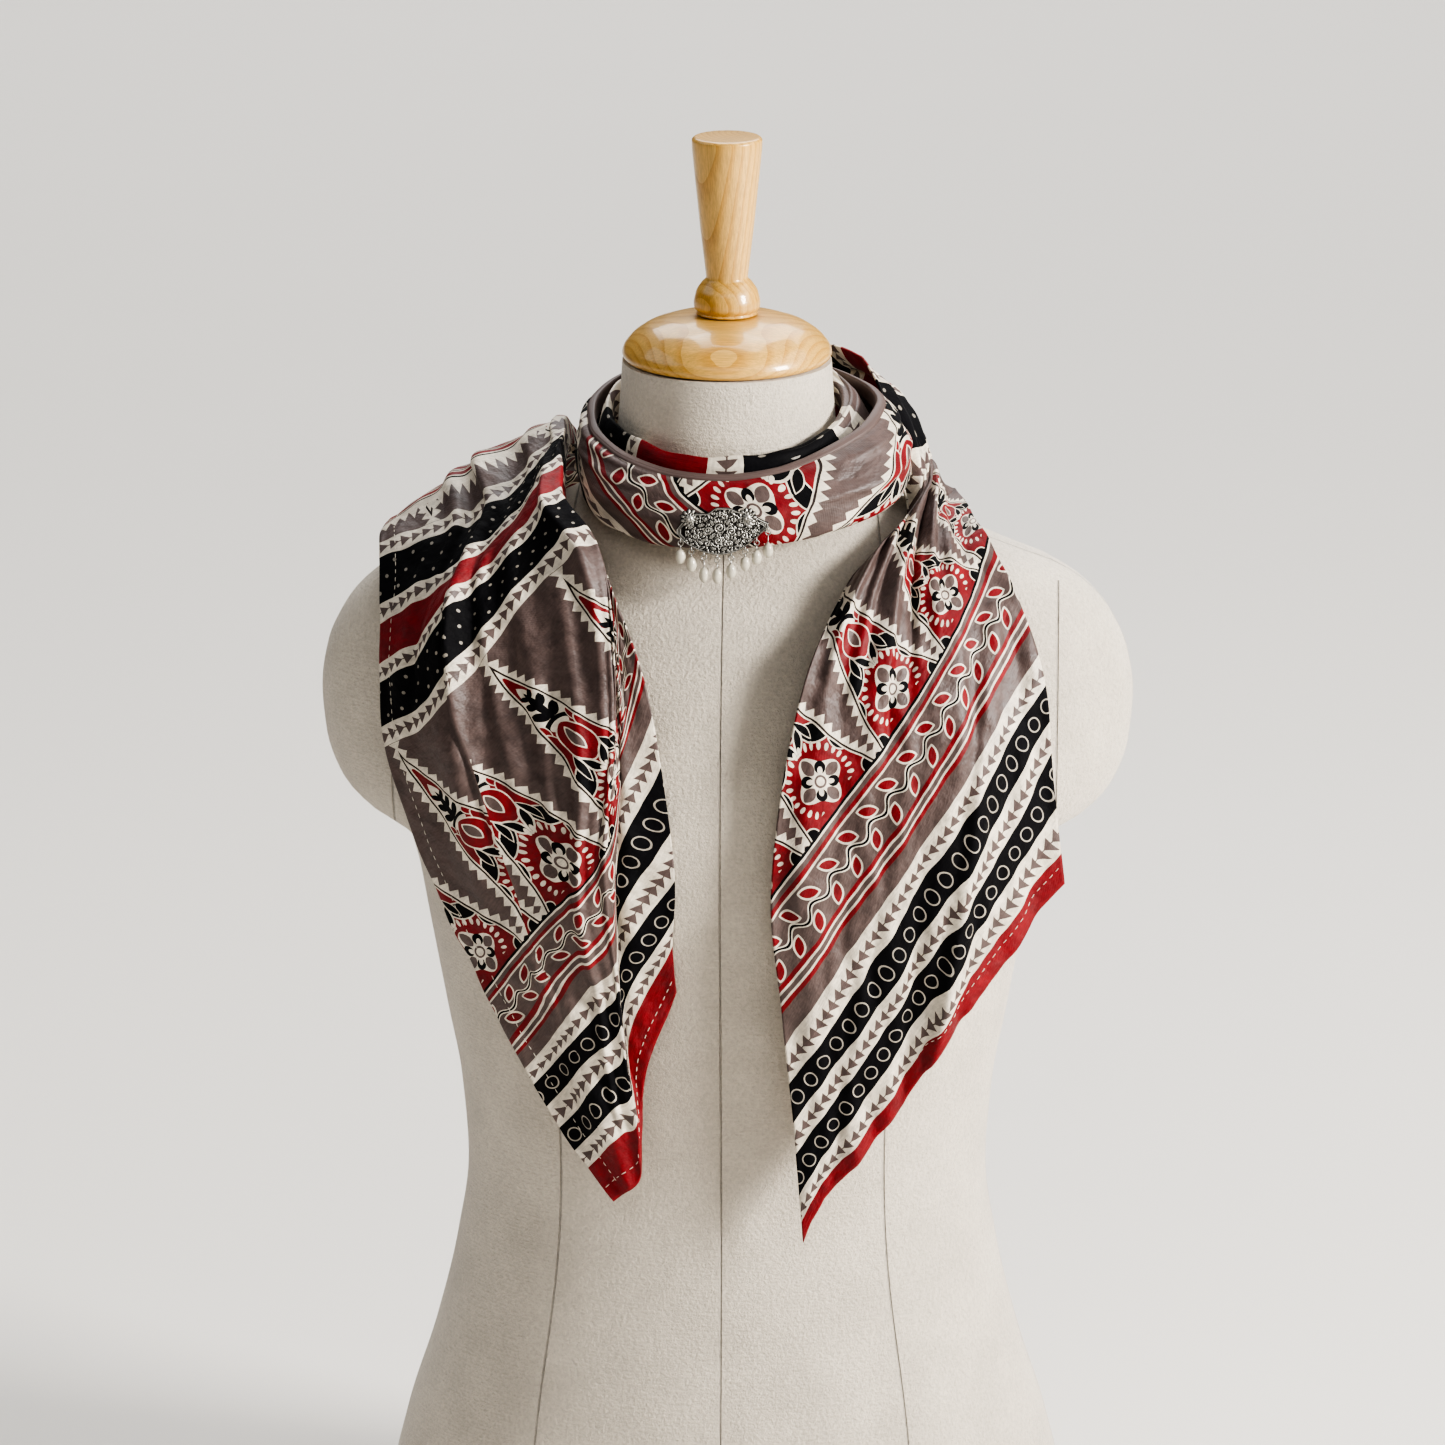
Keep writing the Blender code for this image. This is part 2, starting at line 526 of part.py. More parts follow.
def ring_mesh(shell, centre, across_axis):
    """A wire ring in a bmesh, its hole along the given axis."""
    turn = np.linspace(0.0, 2.0 * math.pi, RING_SEGMENTS, endpoint=False)[:, None]
    tube = RING_TWIST + np.linspace(0.0, 2.0 * math.pi, RING_SIDES, endpoint=False)[None, :]
    reach = RING_RADIUS + WIRE_RADIUS * np.cos(tube)
    flat = [reach * np.cos(turn), reach * np.sin(turn)]
    off = WIRE_RADIUS * np.sin(tube) + 0.0 * turn
    order = [off, *flat] if across_axis == "X" else [flat[0], off, flat[1]]
    points = np.stack(order, axis=-1) + np.array(centre)
    verts = [[shell.verts.new(points[i, j] * MM) for j in range(RING_SIDES)]
             for i in range(RING_SEGMENTS)]
    faces = []
    for i in range(RING_SEGMENTS):
        for j in range(RING_SIDES):
            n, m = (i + 1) % RING_SEGMENTS, (j + 1) % RING_SIDES
            faces.append(shell.faces.new((verts[i][j], verts[n][j], verts[n][m], verts[i][m])))
    bmesh.ops.recalc_face_normals(shell, faces=faces)


def ring_place(x):
    """Middle of the plate's ring for the drop at x."""
    knots, low, _ = columns(PLATE_STATIONS)
    z = float(monotone(knots, low, x)) - RING_DROP
    return x, -float(plate_depth(x, z)), z


def join(target, other):
    union = target.modifiers.new("join", "BOOLEAN")
    union.operation = "UNION"
    union.object = other
    other.hide_render = True
    other.display_type = "WIRE"


def brooch_plate(parts, tools, finish, across_count=22, up_count=4):
    knots, low, high = columns(PLATE_STATIONS)
    x = np.linspace(knots[0], knots[-1], across_count)[:, None]
    share = np.linspace(0.0, 1.0, up_count)[None, :]
    z = monotone(knots, low, x) * (1.0 - share) + monotone(knots, high, x) * share
    x = x + 0.0 * share
    points = np.stack([x, -plate_depth(x, z), z], axis=-1)
    plate = add_object(parts, "brooch_plate", grid_mesh("brooch_plate", points), finish)
    wall = plate.modifiers.new("wall", "SOLIDIFY")
    wall.thickness = PLATE_WALL * MM
    wall.offset = 0.0
    shell = bmesh.new()
    for place, _ in DROPS:
        ring_mesh(shell, ring_place(place), "X")
    for place, height, radius in ROSETTES:
        made = bmesh.ops.create_uvsphere(shell, u_segments=14, v_segments=8, radius=1.0)
        for vert in made["verts"]:
            vert.co.x = (place + vert.co.x * radius) * MM
            vert.co.z = (height + vert.co.z * radius) * MM
            vert.co.y = (-float(plate_depth(place, height)) + vert.co.y * ROSETTE_RISE) * MM
    trim = bpy.data.meshes.new("brooch_trim")
    shell.to_mesh(trim)
    shell.free()
    trim_object = bpy.data.objects.new("brooch_trim", trim)
    tools.objects.link(trim_object)
    join(plate, trim_object)
    return plate


def pearl_drop(parts, tools, number, x, pearl_z, finish):
    """A pearl on an eye pin, turned in one piece, its eye linked through the plate's ring."""
    _, y, ring_z = ring_place(x)
    hinge = ring_z - RING_RADIUS + 2.0 * WIRE_RADIUS + GAP
    eye = hinge - RING_RADIUS
    name = f"pearl_drop_{number}"
    top = eye - RING_RADIUS + PIN_INTO_EYE
    rise = math.sqrt(1.0 - (PIN_RADIUS / (PEARL_WIDE / 2.0)) ** 2) * PEARL_TALL / 2.0
    profile = [(0.0, top), (PIN_RADIUS, top), (PIN_RADIUS, pearl_z + rise)]
    start = math.acos(rise / (PEARL_TALL / 2.0))
    count = 7
    for i in range(1, count):
        turn = start + (math.pi - start) * i / count
        profile.append((PEARL_WIDE / 2.0 * math.sin(turn),
                        pearl_z + PEARL_TALL / 2.0 * math.cos(turn)))
    profile.append((0.0, pearl_z - PEARL_TALL / 2.0))
    mesh = bpy.data.meshes.new(name)
    mesh.from_pydata([(r * MM, 0.0, (z - hinge) * MM) for r, z in profile],
                     [(i, i + 1) for i in range(len(profile) - 1)], [])
    drop = add_object(parts, name, mesh, finish)
    drop.location = (x * MM, y * MM, hinge * MM)
    screw = drop.modifiers.new("turn", "SCREW")
    screw.steps = screw.render_steps = PEARL_SEGMENTS
    screw.merge_threshold = 0.00002
    screw.use_merge_vertices = True
    shell = bmesh.new()
    ring_mesh(shell, (0.0, 0.0, eye - hinge), "Y")
    eye_mesh = bpy.data.meshes.new(f"eye_{number}")
    shell.to_mesh(eye_mesh)
    shell.free()
    eye_object = bpy.data.objects.new(f"eye_{number}", eye_mesh)
    eye_object.location = drop.location
    tools.objects.link(eye_object)
    join(drop, eye_object)
    return drop


def build():
    parts, tools = fresh_scene("scarf_on_dress_form")
    linen = material("form_fabric", (0.72, 0.66, 0.58), 0.9)
    wood = material("lacquered_wood", (0.68, 0.46, 0.22), 0.3)
    silk = material("printed_silk", (0.30, 0.20, 0.18), 0.45)
    silver = material("oxidised_silver", (0.42, 0.42, 0.42), 0.4, 1.0)
    pearl = material("pearl", (0.86, 0.84, 0.78), 0.25)
    dress_form(parts, linen)
    turned(parts, "neck_cap", CAP_PROFILE, wood)
    turned(parts, "finial", FINIAL_PROFILE, wood)
    throat_stretch(parts, silk)
    gathered_edge(parts, silk)
    right_tail(parts, silk)
    left_tail(parts, silk)
    brooch_plate(parts, tools, silver)
    for number, (x, pearl_z) in enumerate(DROPS, start=1):
        pearl_drop(parts, tools, number, x, pearl_z, pearl)


build()
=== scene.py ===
"""Looks of the block printed silk scarf with its pearl drop brooch, on a limbless dress form.

Sizes are millimetres in the tables and metres in the meshes. The form stands on Z = 0, its front
faces -Y, and +X is the right-hand side as seen from the front.
"""
import functools
import math

import bmesh
import bpy
import numpy as np
from bpy.props import FloatProperty, FloatVectorProperty, IntProperty, PointerProperty
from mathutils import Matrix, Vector


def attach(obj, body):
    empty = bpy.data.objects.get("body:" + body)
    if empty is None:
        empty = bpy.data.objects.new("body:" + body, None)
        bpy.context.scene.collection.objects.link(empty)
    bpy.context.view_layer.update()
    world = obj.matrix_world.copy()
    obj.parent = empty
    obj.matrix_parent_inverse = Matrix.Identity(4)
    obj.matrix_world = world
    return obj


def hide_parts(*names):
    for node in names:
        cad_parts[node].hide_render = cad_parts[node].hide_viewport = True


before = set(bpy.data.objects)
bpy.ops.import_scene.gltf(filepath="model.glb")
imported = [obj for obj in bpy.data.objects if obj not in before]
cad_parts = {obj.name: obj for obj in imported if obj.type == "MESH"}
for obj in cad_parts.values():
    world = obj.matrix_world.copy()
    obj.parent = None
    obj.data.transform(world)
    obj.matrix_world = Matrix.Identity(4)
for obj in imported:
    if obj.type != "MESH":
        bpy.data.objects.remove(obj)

bl_info = {
    "name": "Printed silk scarf on a dress form",
    "version": (1, 0, 0),
    "blender": (4, 5, 0),
    "location": "3D View > Sidebar > Scarf",
    "description": "Builds the printed scarf, its brooch and the dress form from the frame",
    "category": "Object",
}

MM = 0.001
GAP = 0.3
AXIS_X, AXIS_Y, AXIS_Z = np.eye(3)
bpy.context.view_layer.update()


def linear(code):
    """An sRGB hex colour as the linear values that Blender's shaders take."""
    shares = [int(code[i:i + 2], 16) / 255.0 for i in (0, 2, 4)]
    return tuple(s / 12.92 if s <= 0.04045 else ((s + 0.055) / 1.055) ** 2.4 for s in shares)


# Dress form
FORM_HEIGHT = 677
BUST_X, BUST_Z = 84, 436
BUST_SPREAD_X, BUST_SPREAD_Z = 46, 52
BUST_RISE = 13
# The arm stub swells out of the side: how sharply it stands off the body
STUB_POWER = 6
FORM_SEGMENTS = 168
# Moving points out of the form: the step that its slope is read over, the longest single move
SLOPE_STEP, LONGEST_PUSH = 0.5, 15
# height, half width of the body, how far the arm stub stands out of it, depth in front, behind
FORM_SECTIONS = (
    (0, 178, 0, 104, 112),
    (25, 179.5, 0, 106, 114.5),
    (60, 179, 0, 106.5, 114),
    (100, 171, 0, 104, 108),
    (150, 155.3, 0, 98, 97),
    (200, 143.2, 0, 91.5, 84),
    (245, 137, 0, 88, 77),
    (290, 140, 0, 91, 77),
    (330, 147, 0, 96, 81),
    (384, 156.5, 0, 103, 88),
    (410, 161, 0, 107, 92),
    (428, 165, 1, 109, 94),
    (434, 166, 9, 109.3, 94.6),
    (442, 167, 22, 109.6, 95.2),
    (456, 168.5, 32.5, 109.5, 96),
    (478, 169.5, 39, 107.5, 96.8),
    (503, 169.5, 41, 102.5, 97),
    (526, 167, 40, 95.5, 96),
    (546, 161.5, 36.5, 86.5, 94),
    (560, 157, 29.5, 78.5, 91.5),
    (571, 151, 19.5, 71, 88),
    (580, 139, 7, 65, 84.5),
    (590, 118.5, 1, 60.5, 80),
    (600, 93, 0, 57.5, 73.5),
    (610, 73.5, 0, 56, 66.5),
    (620, 63, 0, 55.3, 61),
    (634, 57.5, 0, 55, 57.3),
    (655, 55, 0, 54.5, 55),
    (677, 53.6, 0, 53.6, 53.6),
)

# Turned wood: radius and height of the outer side, top to bottom
CAP_PROFILE = ((0, 700.6), (17.5, 700.2), (30, 698.6), (41, 695), (48.5, 690),
               (52.8, 684.6), (53.9, 680.8), (52.6, 678.2), (50, 677.3), (0, 677.3))
FINIAL_PROFILE = ((0, 792.6), (16.6, 792.6), (18, 791.4), (17.9, 787), (16.3, 771),
                  (13.6, 745), (11.1, 724), (10.6, 719.5), (12.6, 717.8), (15.6, 713.6),
                  (17.1, 707.8), (16.9, 704.4), (15.2, 702.4), (15.8, 701.6), (15.4, 700.9),
                  (0, 700.9))
WOOD_SEGMENTS = 96
# Edges sharper than this stay sharp, degrees
SHARP_FORM, SHARP_WOOD = 50, 60
# Node, profile, radius of its corners, then a point on the pith and the axis of the grain, which
# runs side to side in the cap and up the post
TURNINGS = (("neck_cap", CAP_PROFILE, 3, (0, -16, 655), "X"),
            ("finial", FINIAL_PROFILE, 1.6, (14, 12, 0), "Z"))

# Scarf
CLOTH_WALL = 1.6
FORM_LIFT = 1.6
BAND_LIFT = 2.6
NAPE_LIFT = 5.2

# Front stretch round the throat: angle from the front (positive to the right), then radius and
# height of its lower edge, its fullest line and its upper roll
BAND_ROWS = (
    (-132, 70.5, 630, 73, 645, 67.5, 662),
    (-105, 71.5, 621, 75, 636, 69.5, 656.5),
    (-82, 73.5, 614.5, 76.5, 629, 71, 649.5),
    (-62, 78.5, 609, 81, 622.5, 71.5, 643.5),
    (-42, 83, 602.5, 86, 616, 71.5, 638.5),
    (-20, 83, 598, 86.5, 611.5, 71, 634.5),
    (0, 82.5, 598, 86.5, 611, 70.5, 633.5),
    (22, 84, 600, 87.3, 613.5, 71.5, 636),
    (45, 90.5, 605.5, 93.5, 620.5, 74.5, 643.5),
    (64, 95.5, 611.5, 97, 627, 79.5, 651),
    (80, 94, 616, 95.5, 633, 80.5, 657.5),
    (97, 83, 622, 86, 640, 77, 660),
    (114, 74.5, 629, 76.5, 646, 71, 662.5),
    (132, 70.5, 633, 73, 649, 67.5, 664),
)
BAND_END = BAND_ROWS[-1][0]
# Places of the section's control points up it, and where its face starts and ends
BAND_PLACES = (0, 0.13, 0.2, 0.42, 0.66, 0.83, 0.89, 1)
BAND_FACE = (0.2, 0.83)
THROAT_GRID = (290, 92)
# Where the creases of the throat stretch fade out: places up its section, degrees from its ends
LOW_FADE, TOP_FADE, END_FADE = (0.14, 0.22), (0.93, 0.87), 10
# How the face bulges above its fullest line, and how far below it a tail is still kept outside
BAND_BULGE, BAND_BELOW = 1.6, 2.5
BAND_TUCK_IN, BAND_TUCK_UP = 7.5, 7
ROLL_TUCK_IN, ROLL_TUCK_DOWN = 3.4, 8
# How far past the throat stretch's end each tail begins, degrees
JOIN_STEP = 0.65

# Gathered upper edge between the throat stretch and the neck: angle, inner and outer radius, top
FOLD_ROWS = (
    (-126, 58.6, 61.8, 661),
    (-95, 59.2, 62.6, 655.5),
    (-50, 60, 64.2, 645.5),
    (0, 60, 64, 640),
    (50, 60.2, 66.5, 646.5),
    (95, 59.4, 66.5, 659.5),
    (126, 58.6, 61.8, 664),
)
FOLD_DEPTH = 13
FOLD_PLACES = (0, 0.36, 0.5, 0.64, 1)
GATHER_GRID = (240, 60)
# How far below its top the gathered edge turns down, and the share of its depth on the far side
GATHER_TURN, FAR_SHARE = 2.6, 0.9
# Waves along the top of the gathers: height, turns for a degree, start
GATHER_WAVES = ((0.7, 0.11, 0.8), (0.4, 0.27, 0))
# Layers of the gathers: height, turns up the section and along it, how far each leans in
LAYER_HIGH, LAYER_TURNS, LAYER_DRIFT, LAYER_LEAN = 0.5, 44, 0.03, 0.4
# They grow to the right: the angle that it starts from, how far it runs, the least share
GROW_FROM, GROW_OVER, GROW_LEAST = 5, 40, 0.25
# Print distance across the gathers: from the inner side, and over the whole section
GATHER_START, GATHER_RUN = -5, 30

# Right-hand tail, from its hemmed end up over the shoulder and round the nape: distance from the
# end hem along the cloth, then its outer edge, the soft fold along it and its inner edge
TAIL_RIGHT_ROWS = (
    (0, (175, -80, 423), (110, -106, 338), (43, -110, 238)),
    (40, (169.5, -80, 475), (108, -113, 398), (38, -115, 302)),
    (80, (163, -75, 530), (105, -116, 460), (32, -120, 364)),
    (130, (143, -47, 580), (100, -104, 524), (27, -124, 441)),
    (162, (130, -22, 596), (98, -84, 562), (36, -119, 509)),
    (185, (124, 0, 600), (98, -58, 586), (48, -105, 552)),
    (205, (119, 20, 602), (101, -32, 602), (66, -76, 584)),
    (228, (116, 42, 598), (104, 4, 614), (98, -28, 606)),
    (250, (110, 60, 592), (98, 32, 626), (92, 12, 648)),
    (285, (86, 92, 586), (79, 64, 634), (64, 50, 669)),
    (330, (46, 104, 584), (42, 86, 632), (28, 72, 669)),
    (375, (-2, 102, 596), (-4, 84, 636), (-6, 73, 667)),
    (415, (-40, 78, 618), (-42, 71, 642), (-37, 60, 664)),
)
TAIL_RIGHT_END = 446
# How far before its joint a tail's crumples fade out
JOINT_FADE = 25
RIGHT_PLACES = (0, 0.42, 1)
RIGHT_GRID = (260, 132)
# Distance along the right tail, and how far it is kept off the form there
RIGHT_LIFTS = ((250, FORM_LIFT), (300, NAPE_LIFT), (420, NAPE_LIFT), (446, 2))
# Left-hand tail, the same way: outer edge, the pleat down it, the edge of the upper layer, the
# start of the under layer, its inner edge
TAIL_LEFT_ROWS = (
    (0, (-54.5, -107, 257.5), (-47, -109, 264), (-40.5, -112, 272.5),
     (-39.5, -105, 312), (-22, -106, 371)),
    (19, (-66.5, -106, 273), (-55, -109, 286), (-42, -113, 302),
     (-47, -105, 335), (-24, -108, 395)),
    (43, (-80.5, -105, 292.5), (-64, -109, 310), (-47, -115, 330),
     (-51.5, -109, 376), (-22.5, -112, 433)),
    (77, (-100.5, -104, 330), (-76, -112, 359), (-51.5, -121, 384),
     (-53, -116, 448), (-33, -117, 518)),
    (128, (-122.5, -101, 373), (-95, -116, 404), (-55, -127, 451),
     (-49, -118, 507), (-54, -103, 582)),
    (180, (-150, -94, 433.5), (-117, -114, 475), (-52, -119, 541),
     (-56, -104, 568), (-60, -90, 590)),
    (232, (-171, -86, 497), (-133, -103, 527), (-62, -92, 602),
     (-64, -84, 602), (-66, -76, 599)),
    (268, (-173.5, -77, 529.5), (-136, -93, 566), (-81, -66, 622),
     (-80, -60, 616), (-79, -54, 609)),
    (298, (-174, -64, 558.5), (-128, -76, 587), (-84, -42, 634),
     (-82.5, -40, 627), (-81, -36, 619)),
    (328, (-176, -42, 585), (-118, -44, 607), (-84, -18, 642),
     (-83, -16, 635), (-81.5, -14, 627)),
    (352, (-177, -14, 590.5), (-126, -14, 620), (-84, 2, 645),
     (-82, 2, 638), (-81, 3, 630)),
    (385, (-166, 24, 588), (-120, 24, 617), (-82, 27, 636),
     (-80, 27, 631), (-78, 27, 624)),
    (430, (-128, 70, 580), (-98, 64, 600), (-75, 58, 612),
     (-72, 56, 612.5), (-69, 53, 613)),
    (480, (-75, 92, 580), (-62, 86, 594), (-50, 76, 605),
     (-48, 74, 606.5), (-45, 71, 608)),
    (530, (-20, 98, 582), (-16, 91, 594), (-10, 80, 608),
     (-9, 78, 611), (-8, 76, 615)),
    (575, (30, 90, 594), (30, 84, 606), (28, 73, 624),
     (27, 71, 630), (26, 68, 636)),
)
TAIL_LEFT_END = 612
LEFT_PLACES = (0, 0.28, 0.64, 0.74, 1)
LEFT_GRID = (300, 151)
# Places across at which the left tail is folded, so that its print starts again
LEFT_FOLDS = (0.28, 0.68)

# Folds pressed into the tails: where each starts and ends along the tail, its place across
# at either end (0 is the outer edge, 1 the inner one), its half width towards the outer and the
# inner edge as shares of the tail, and its height, below zero for a trough
CREASES_RIGHT = (
    (185, 280, 0.985, 0.985, 0.05, 0.05, -12),
    (-45, 130, 0.55, 0.10, 0.07, 0.026, 6),
    (-40, 95, 0.60, 0.40, 0.05, 0.05, -3.4),
    (120, 250, 0.60, 0.47, 0.028, 0.10, 7.5),
    (130, 238, 0.45, 0.40, 0.03, 0.03, -4.2),
    (40, 205, 0.90, 0.84, 0.09, 0.06, 4.5),
    (150, 240, 0.72, 0.66, 0.03, 0.04, 4.2),
    (165, 245, 0.86, 0.80, 0.03, 0.03, 3.9),
    (225, 350, 0.55, 0.45, 0.12, 0.12, 5.2),
    (60, 190, 0.30, 0.20, 0.035, 0.06, 3.4),
    (110, 235, 0.16, 0.22, 0.04, 0.04, 3.9),
    (140, 240, 0.30, 0.33, 0.03, 0.03, 3.9),
    (-60, 60, 0.80, 0.72, 0.06, 0.05, 2.1),
    (-40, 70, 0.10, 0.04, 0.06, 0.05, -2.1),
    (200, 330, 0.30, 0.34, 0.05, 0.05, 3.4),
    (200, 320, 0.72, 0.70, 0.04, 0.05, 3.9),
    (260, 430, 0.72, 0.78, 0.05, 0.05, 3.1),
    (300, 440, 0.22, 0.30, 0.07, 0.05, 2.6),
    (320, 445, 0.50, 0.52, 0.04, 0.04, 2.9),
)
CREASES_LEFT = (
    (130, 365, 0.20, 0.34, 0.09, 0.05, 7),
    (90, 300, 0.52, 0.56, 0.10, 0.05, 4.5),
    (-20, 140, 0.33, 0.30, 0.10, 0.10, 4.5),
    (330, 520, 0.30, 0.45, 0.12, 0.12, 5),
    (140, 420, 0.275, 0.275, 0.004, 0.04, 4.7),
    (150, 300, 0.35, 0.37, 0.014, 0.020, 3.9),
    (120, 270, 0.42, 0.43, 0.016, 0.018, 4.2),
    (90, 250, 0.49, 0.50, 0.020, 0.016, 4.4),
    (150, 320, 0.57, 0.55, 0.016, 0.020, 3.9),
    (60, 230, 0.62, 0.60, 0.020, 0.012, 3.4),
    (20, 130, 0.44, 0.48, 0.030, 0.020, 3.6),
    (60, 170, 0.24, 0.27, 0.030, 0.020, 2.9),
    (200, 340, 0.06, 0.13, 0.04, 0.03, 3.4),
    (250, 420, 0.17, 0.20, 0.02, 0.03, 3.9),
    (230, 360, 0.12, 0.24, 0.02, 0.02, -2.9),
    (-10, 120, 0.14, 0.12, 0.06, 0.06, -2.1),
    (20, 160, 0.84, 0.86, 0.05, 0.05, 3.9),
    (60, 240, 0.76, 0.78, 0.02, 0.03, 2.9),
    (300, 470, 0.42, 0.60, 0.03, 0.04, 3.9),
    (280, 430, 0.50, 0.70, 0.02, 0.03, 3.1),
    (400, 600, 0.20, 0.24, 0.06, 0.05, 3.1),
    (420, 600, 0.60, 0.66, 0.05, 0.05, 3.6),
    (440, 600, 0.42, 0.44, 0.03, 0.04, 2.9),
)
# How a fold rises from its ends: 1 is a sine, and less is fuller
CREASE_POWER = 0.8
# The same for the throat stretch: angle from and to, place up its section from the lower tuck
CREASES_BAND = (
    (-120, 10, 0.74, 0.80, 0.03, 0.02, 1.5),
    (-110, -10, 0.58, 0.70, 0.04, 0.03, 1.3),
    (-70, 40, 0.40, 0.52, 0.06, 0.04, 1),
    (-50, 20, 0.27, 0.33, 0.04, 0.05, -0.7),
    (20, 120, 0.76, 0.66, 0.03, 0.03, 1.5),
    (10, 80, 0.58, 0.42, 0.04, 0.05, 1.1),
    (55, 130, 0.50, 0.44, 0.05, 0.05, 1.4),
    (-130, -60, 0.34, 0.40, 0.05, 0.05, 1.2),
    (-260, 260, 0.79, 0.79, 0.012, 0.012, -1.4),
    (-260, 260, 0.86, 0.86, 0.03, 0.04, 0.8),
)
# Waves of the crumpled cloth: turns per millimetre along and across, start, height
CRUMPLE_WAVES = ((0.17, 0.05, 0.4, 0.36), (0.06, 0.17, 1.9, 0.50), (-0.10, 0.13, 3.1, 0.40),
                 (0.04, -0.27, 4.4, 0.36), (0.21, 0.33, 0.9, 0.22), (-0.17, 0.45, 2.2, 0.18))
# How far each wave bends off its line, and its turns along and across
BEND_HIGH, BEND_ALONG, BEND_WIDE = 1.3, 0.037, 0.053
# The throat stretch's crumples: share of their height, millimetres for a degree and up the section
THROAT_CRUMPLE, DEGREE_LONG, SECTION_LONG = 0.5, 1.3, 90

# Block print. Distance from the end hem at which each colour of the border starts; past the
# last row the border runs back the other way
PRINT_ROWS = (
    (0, "red"), (19, "cream"), (29.7, "black"), (42.7, "cream"), (53.4, "black"),
    (66.4, "cream"), (77.4, "taupe"), (87, "cream"), (87.8, "red"), (89.8, "cream"),
    (90.6, "taupe"), (93.3, "cream"), (94.1, "red"), (96.1, "cream"), (96.9, "taupe"),
    (119, "cream"), (119.9, "red"), (121.9, "cream"), (122.8, "taupe"), (125, "cream"),
    (125.7, "black"), (127.9, "cream"), (128.7, "taupe"), (232, "cream"), (241, "black"),
    (263.5, "cream"), (272.5, "red"),
)
PRINT_TURN = 282.75
PRINT_SCALE = 300
# Strips of triangles: where each starts, its middle, where it ends
TRIANGLE_STRIPS = ((19, 24.35, 29.7), (42.7, 48.05, 53.4), (66.4, 71.9, 77.4),
                   (232, 236.5, 241), (263.5, 268, 272.5))
TRIANGLE_PITCH, TRIANGLE_LONG, TRIANGLE_HALF = 6, 5.2, 3
RING_STRIPS = (36.2, 59.9)
RING_PITCH, RING_MID_RADIUS, RING_STROKE = 11.6, 3.35, 0.36
# Middle and half width of the part of the border that has rings on it
RINGED_PART = (48, 23)
# How dark the fine rings, dots and lines print, as shares of their ink
RING_TONE, DOT_TONE, LINE_TONE = 0.55, 0.4, 0.3
DOTTED_STRIP = (252.25, 11.2)
DOT_PITCH, DOT_ROWS_APART, DOT_RADIUS = 11, 7, 0.95
VINE_STRIP = (108, 11)
VINE_PERIOD, VINE_SWING, VINE_HALF, VINE_EDGE = 17, 2.1, 0.62, 1.4
VINE_LEAF, VINE_LEAF_RIM, VINE_LEAF_FILL = (0.6, 6, 2.4, 5, -48, 1.2, 2), 1.5, 0.95
PANEL_START, PANEL_HEIGHT, PANEL_HALF, PANEL_PERIOD = 128.2, 98, 26.5, 60
TOOTH_PITCH, TOOTH_FOOT, TOOTH_RISE = 5.5, 1.7, 3.8
PANEL_LINE, PANEL_RIM = 0.5, 1.3
# Middle and half width of the row of panels
PANEL_ROW = (PANEL_START + 51.7, 51.9)
# The toothed border past the panels on the shoulder: where its rows start, then the rows from it
SHOULDER_BORDER, SHOULDER_WIDE, SHOULDER_TOOTH = 348.5, 26, 6.5
SHOULDER_ROWS = (
    (0, "cream"), (2.6, "black"), (3.5, "cream"), (4.5, "black"), (5.4, "cream"),
    (6.6, "red"), (10.4, "cream"), (11.4, "black"), (12.4, "cream"), (13.6, "red"),
    (19, "cream"), (20.2, "black"), (21.4, "cream"), (22.6, "taupe"),
)
FIELD_TOP = 57
# Marks inside a panel, mirrored about its middle: across, up from the base, half width, half
# height, turn in degrees, power across and up (2 is round, 1 runs to a point), ink, outline share
PANEL_MARKS = (
    (0, 80, 7, 10.5, 0, 1, 2, "red", 0),
    (0, 73.6, 3.4, 8, 0, 1, 2, "cream", 0),
    (0, 66.5, 2.2, 10.5, 0, 1, 2, "black", 0),
    (4.4, 62.8, 2.1, 4.8, -60, 1.2, 2, "black", 0),
    (3.7, 68.6, 1.9, 4.2, -54, 1.2, 2, "black", 0),
    (2.4, 73.8, 1.5, 3.2, -44, 1.2, 2, "black", 0),
    (0, 57.6, 7.6, 2.5, 0, 2, 2, "black", 0),
    (0, 56, 6.4, 2.3, 0, 2, 2, "cream", 0),
    (9.4, 56.8, 2.2, 3, 10, 2, 2, "red", 0.5),
    (12.6, 45.5, 5.4, 10, 16, 1.6, 2, "red", 0.14),
    (0, 47.2, 8.2, 9.4, 0, 1.6, 2, "red", 0.16),
    (0, 48.6, 2.5, 5, 0, 1.2, 2, "taupe", 0.4),
    (12.2, 33.6, 3.6, 9.2, 52, 1.2, 2, "black", 0.25),
    (9.4, 37.6, 1.8, 5.4, 12, 1, 2, "black", 0.3),
    (15.4, 32.8, 1.6, 4.6, 18, 1, 2, "black", 0),
    (3.6, 35.8, 1.8, 5.6, -34, 1, 2, "black", 0.55),
    (19, 21.6, 1.3, 4.2, 16, 1, 2, "black", 0.6),
    (23.6, 0, 3.8, 4.4, 0, 2, 2, "black", 0.4),
)
# Rosette petals: turn, middle's distance from the eye, half length, half width, power, ink
ROSETTE_PETALS = ((45, 6.9, 3.1, 2.9, 2, "black"), (0, 8.8, 4.2, 3, 1.4, "taupe"))
ROSETTE_EYE, EYE_STROKE = 2.7, 0.55
ROSETTE_LOBES, LOBE_RISE, LOBE_RADIUS = 4, 1.9, 11.6
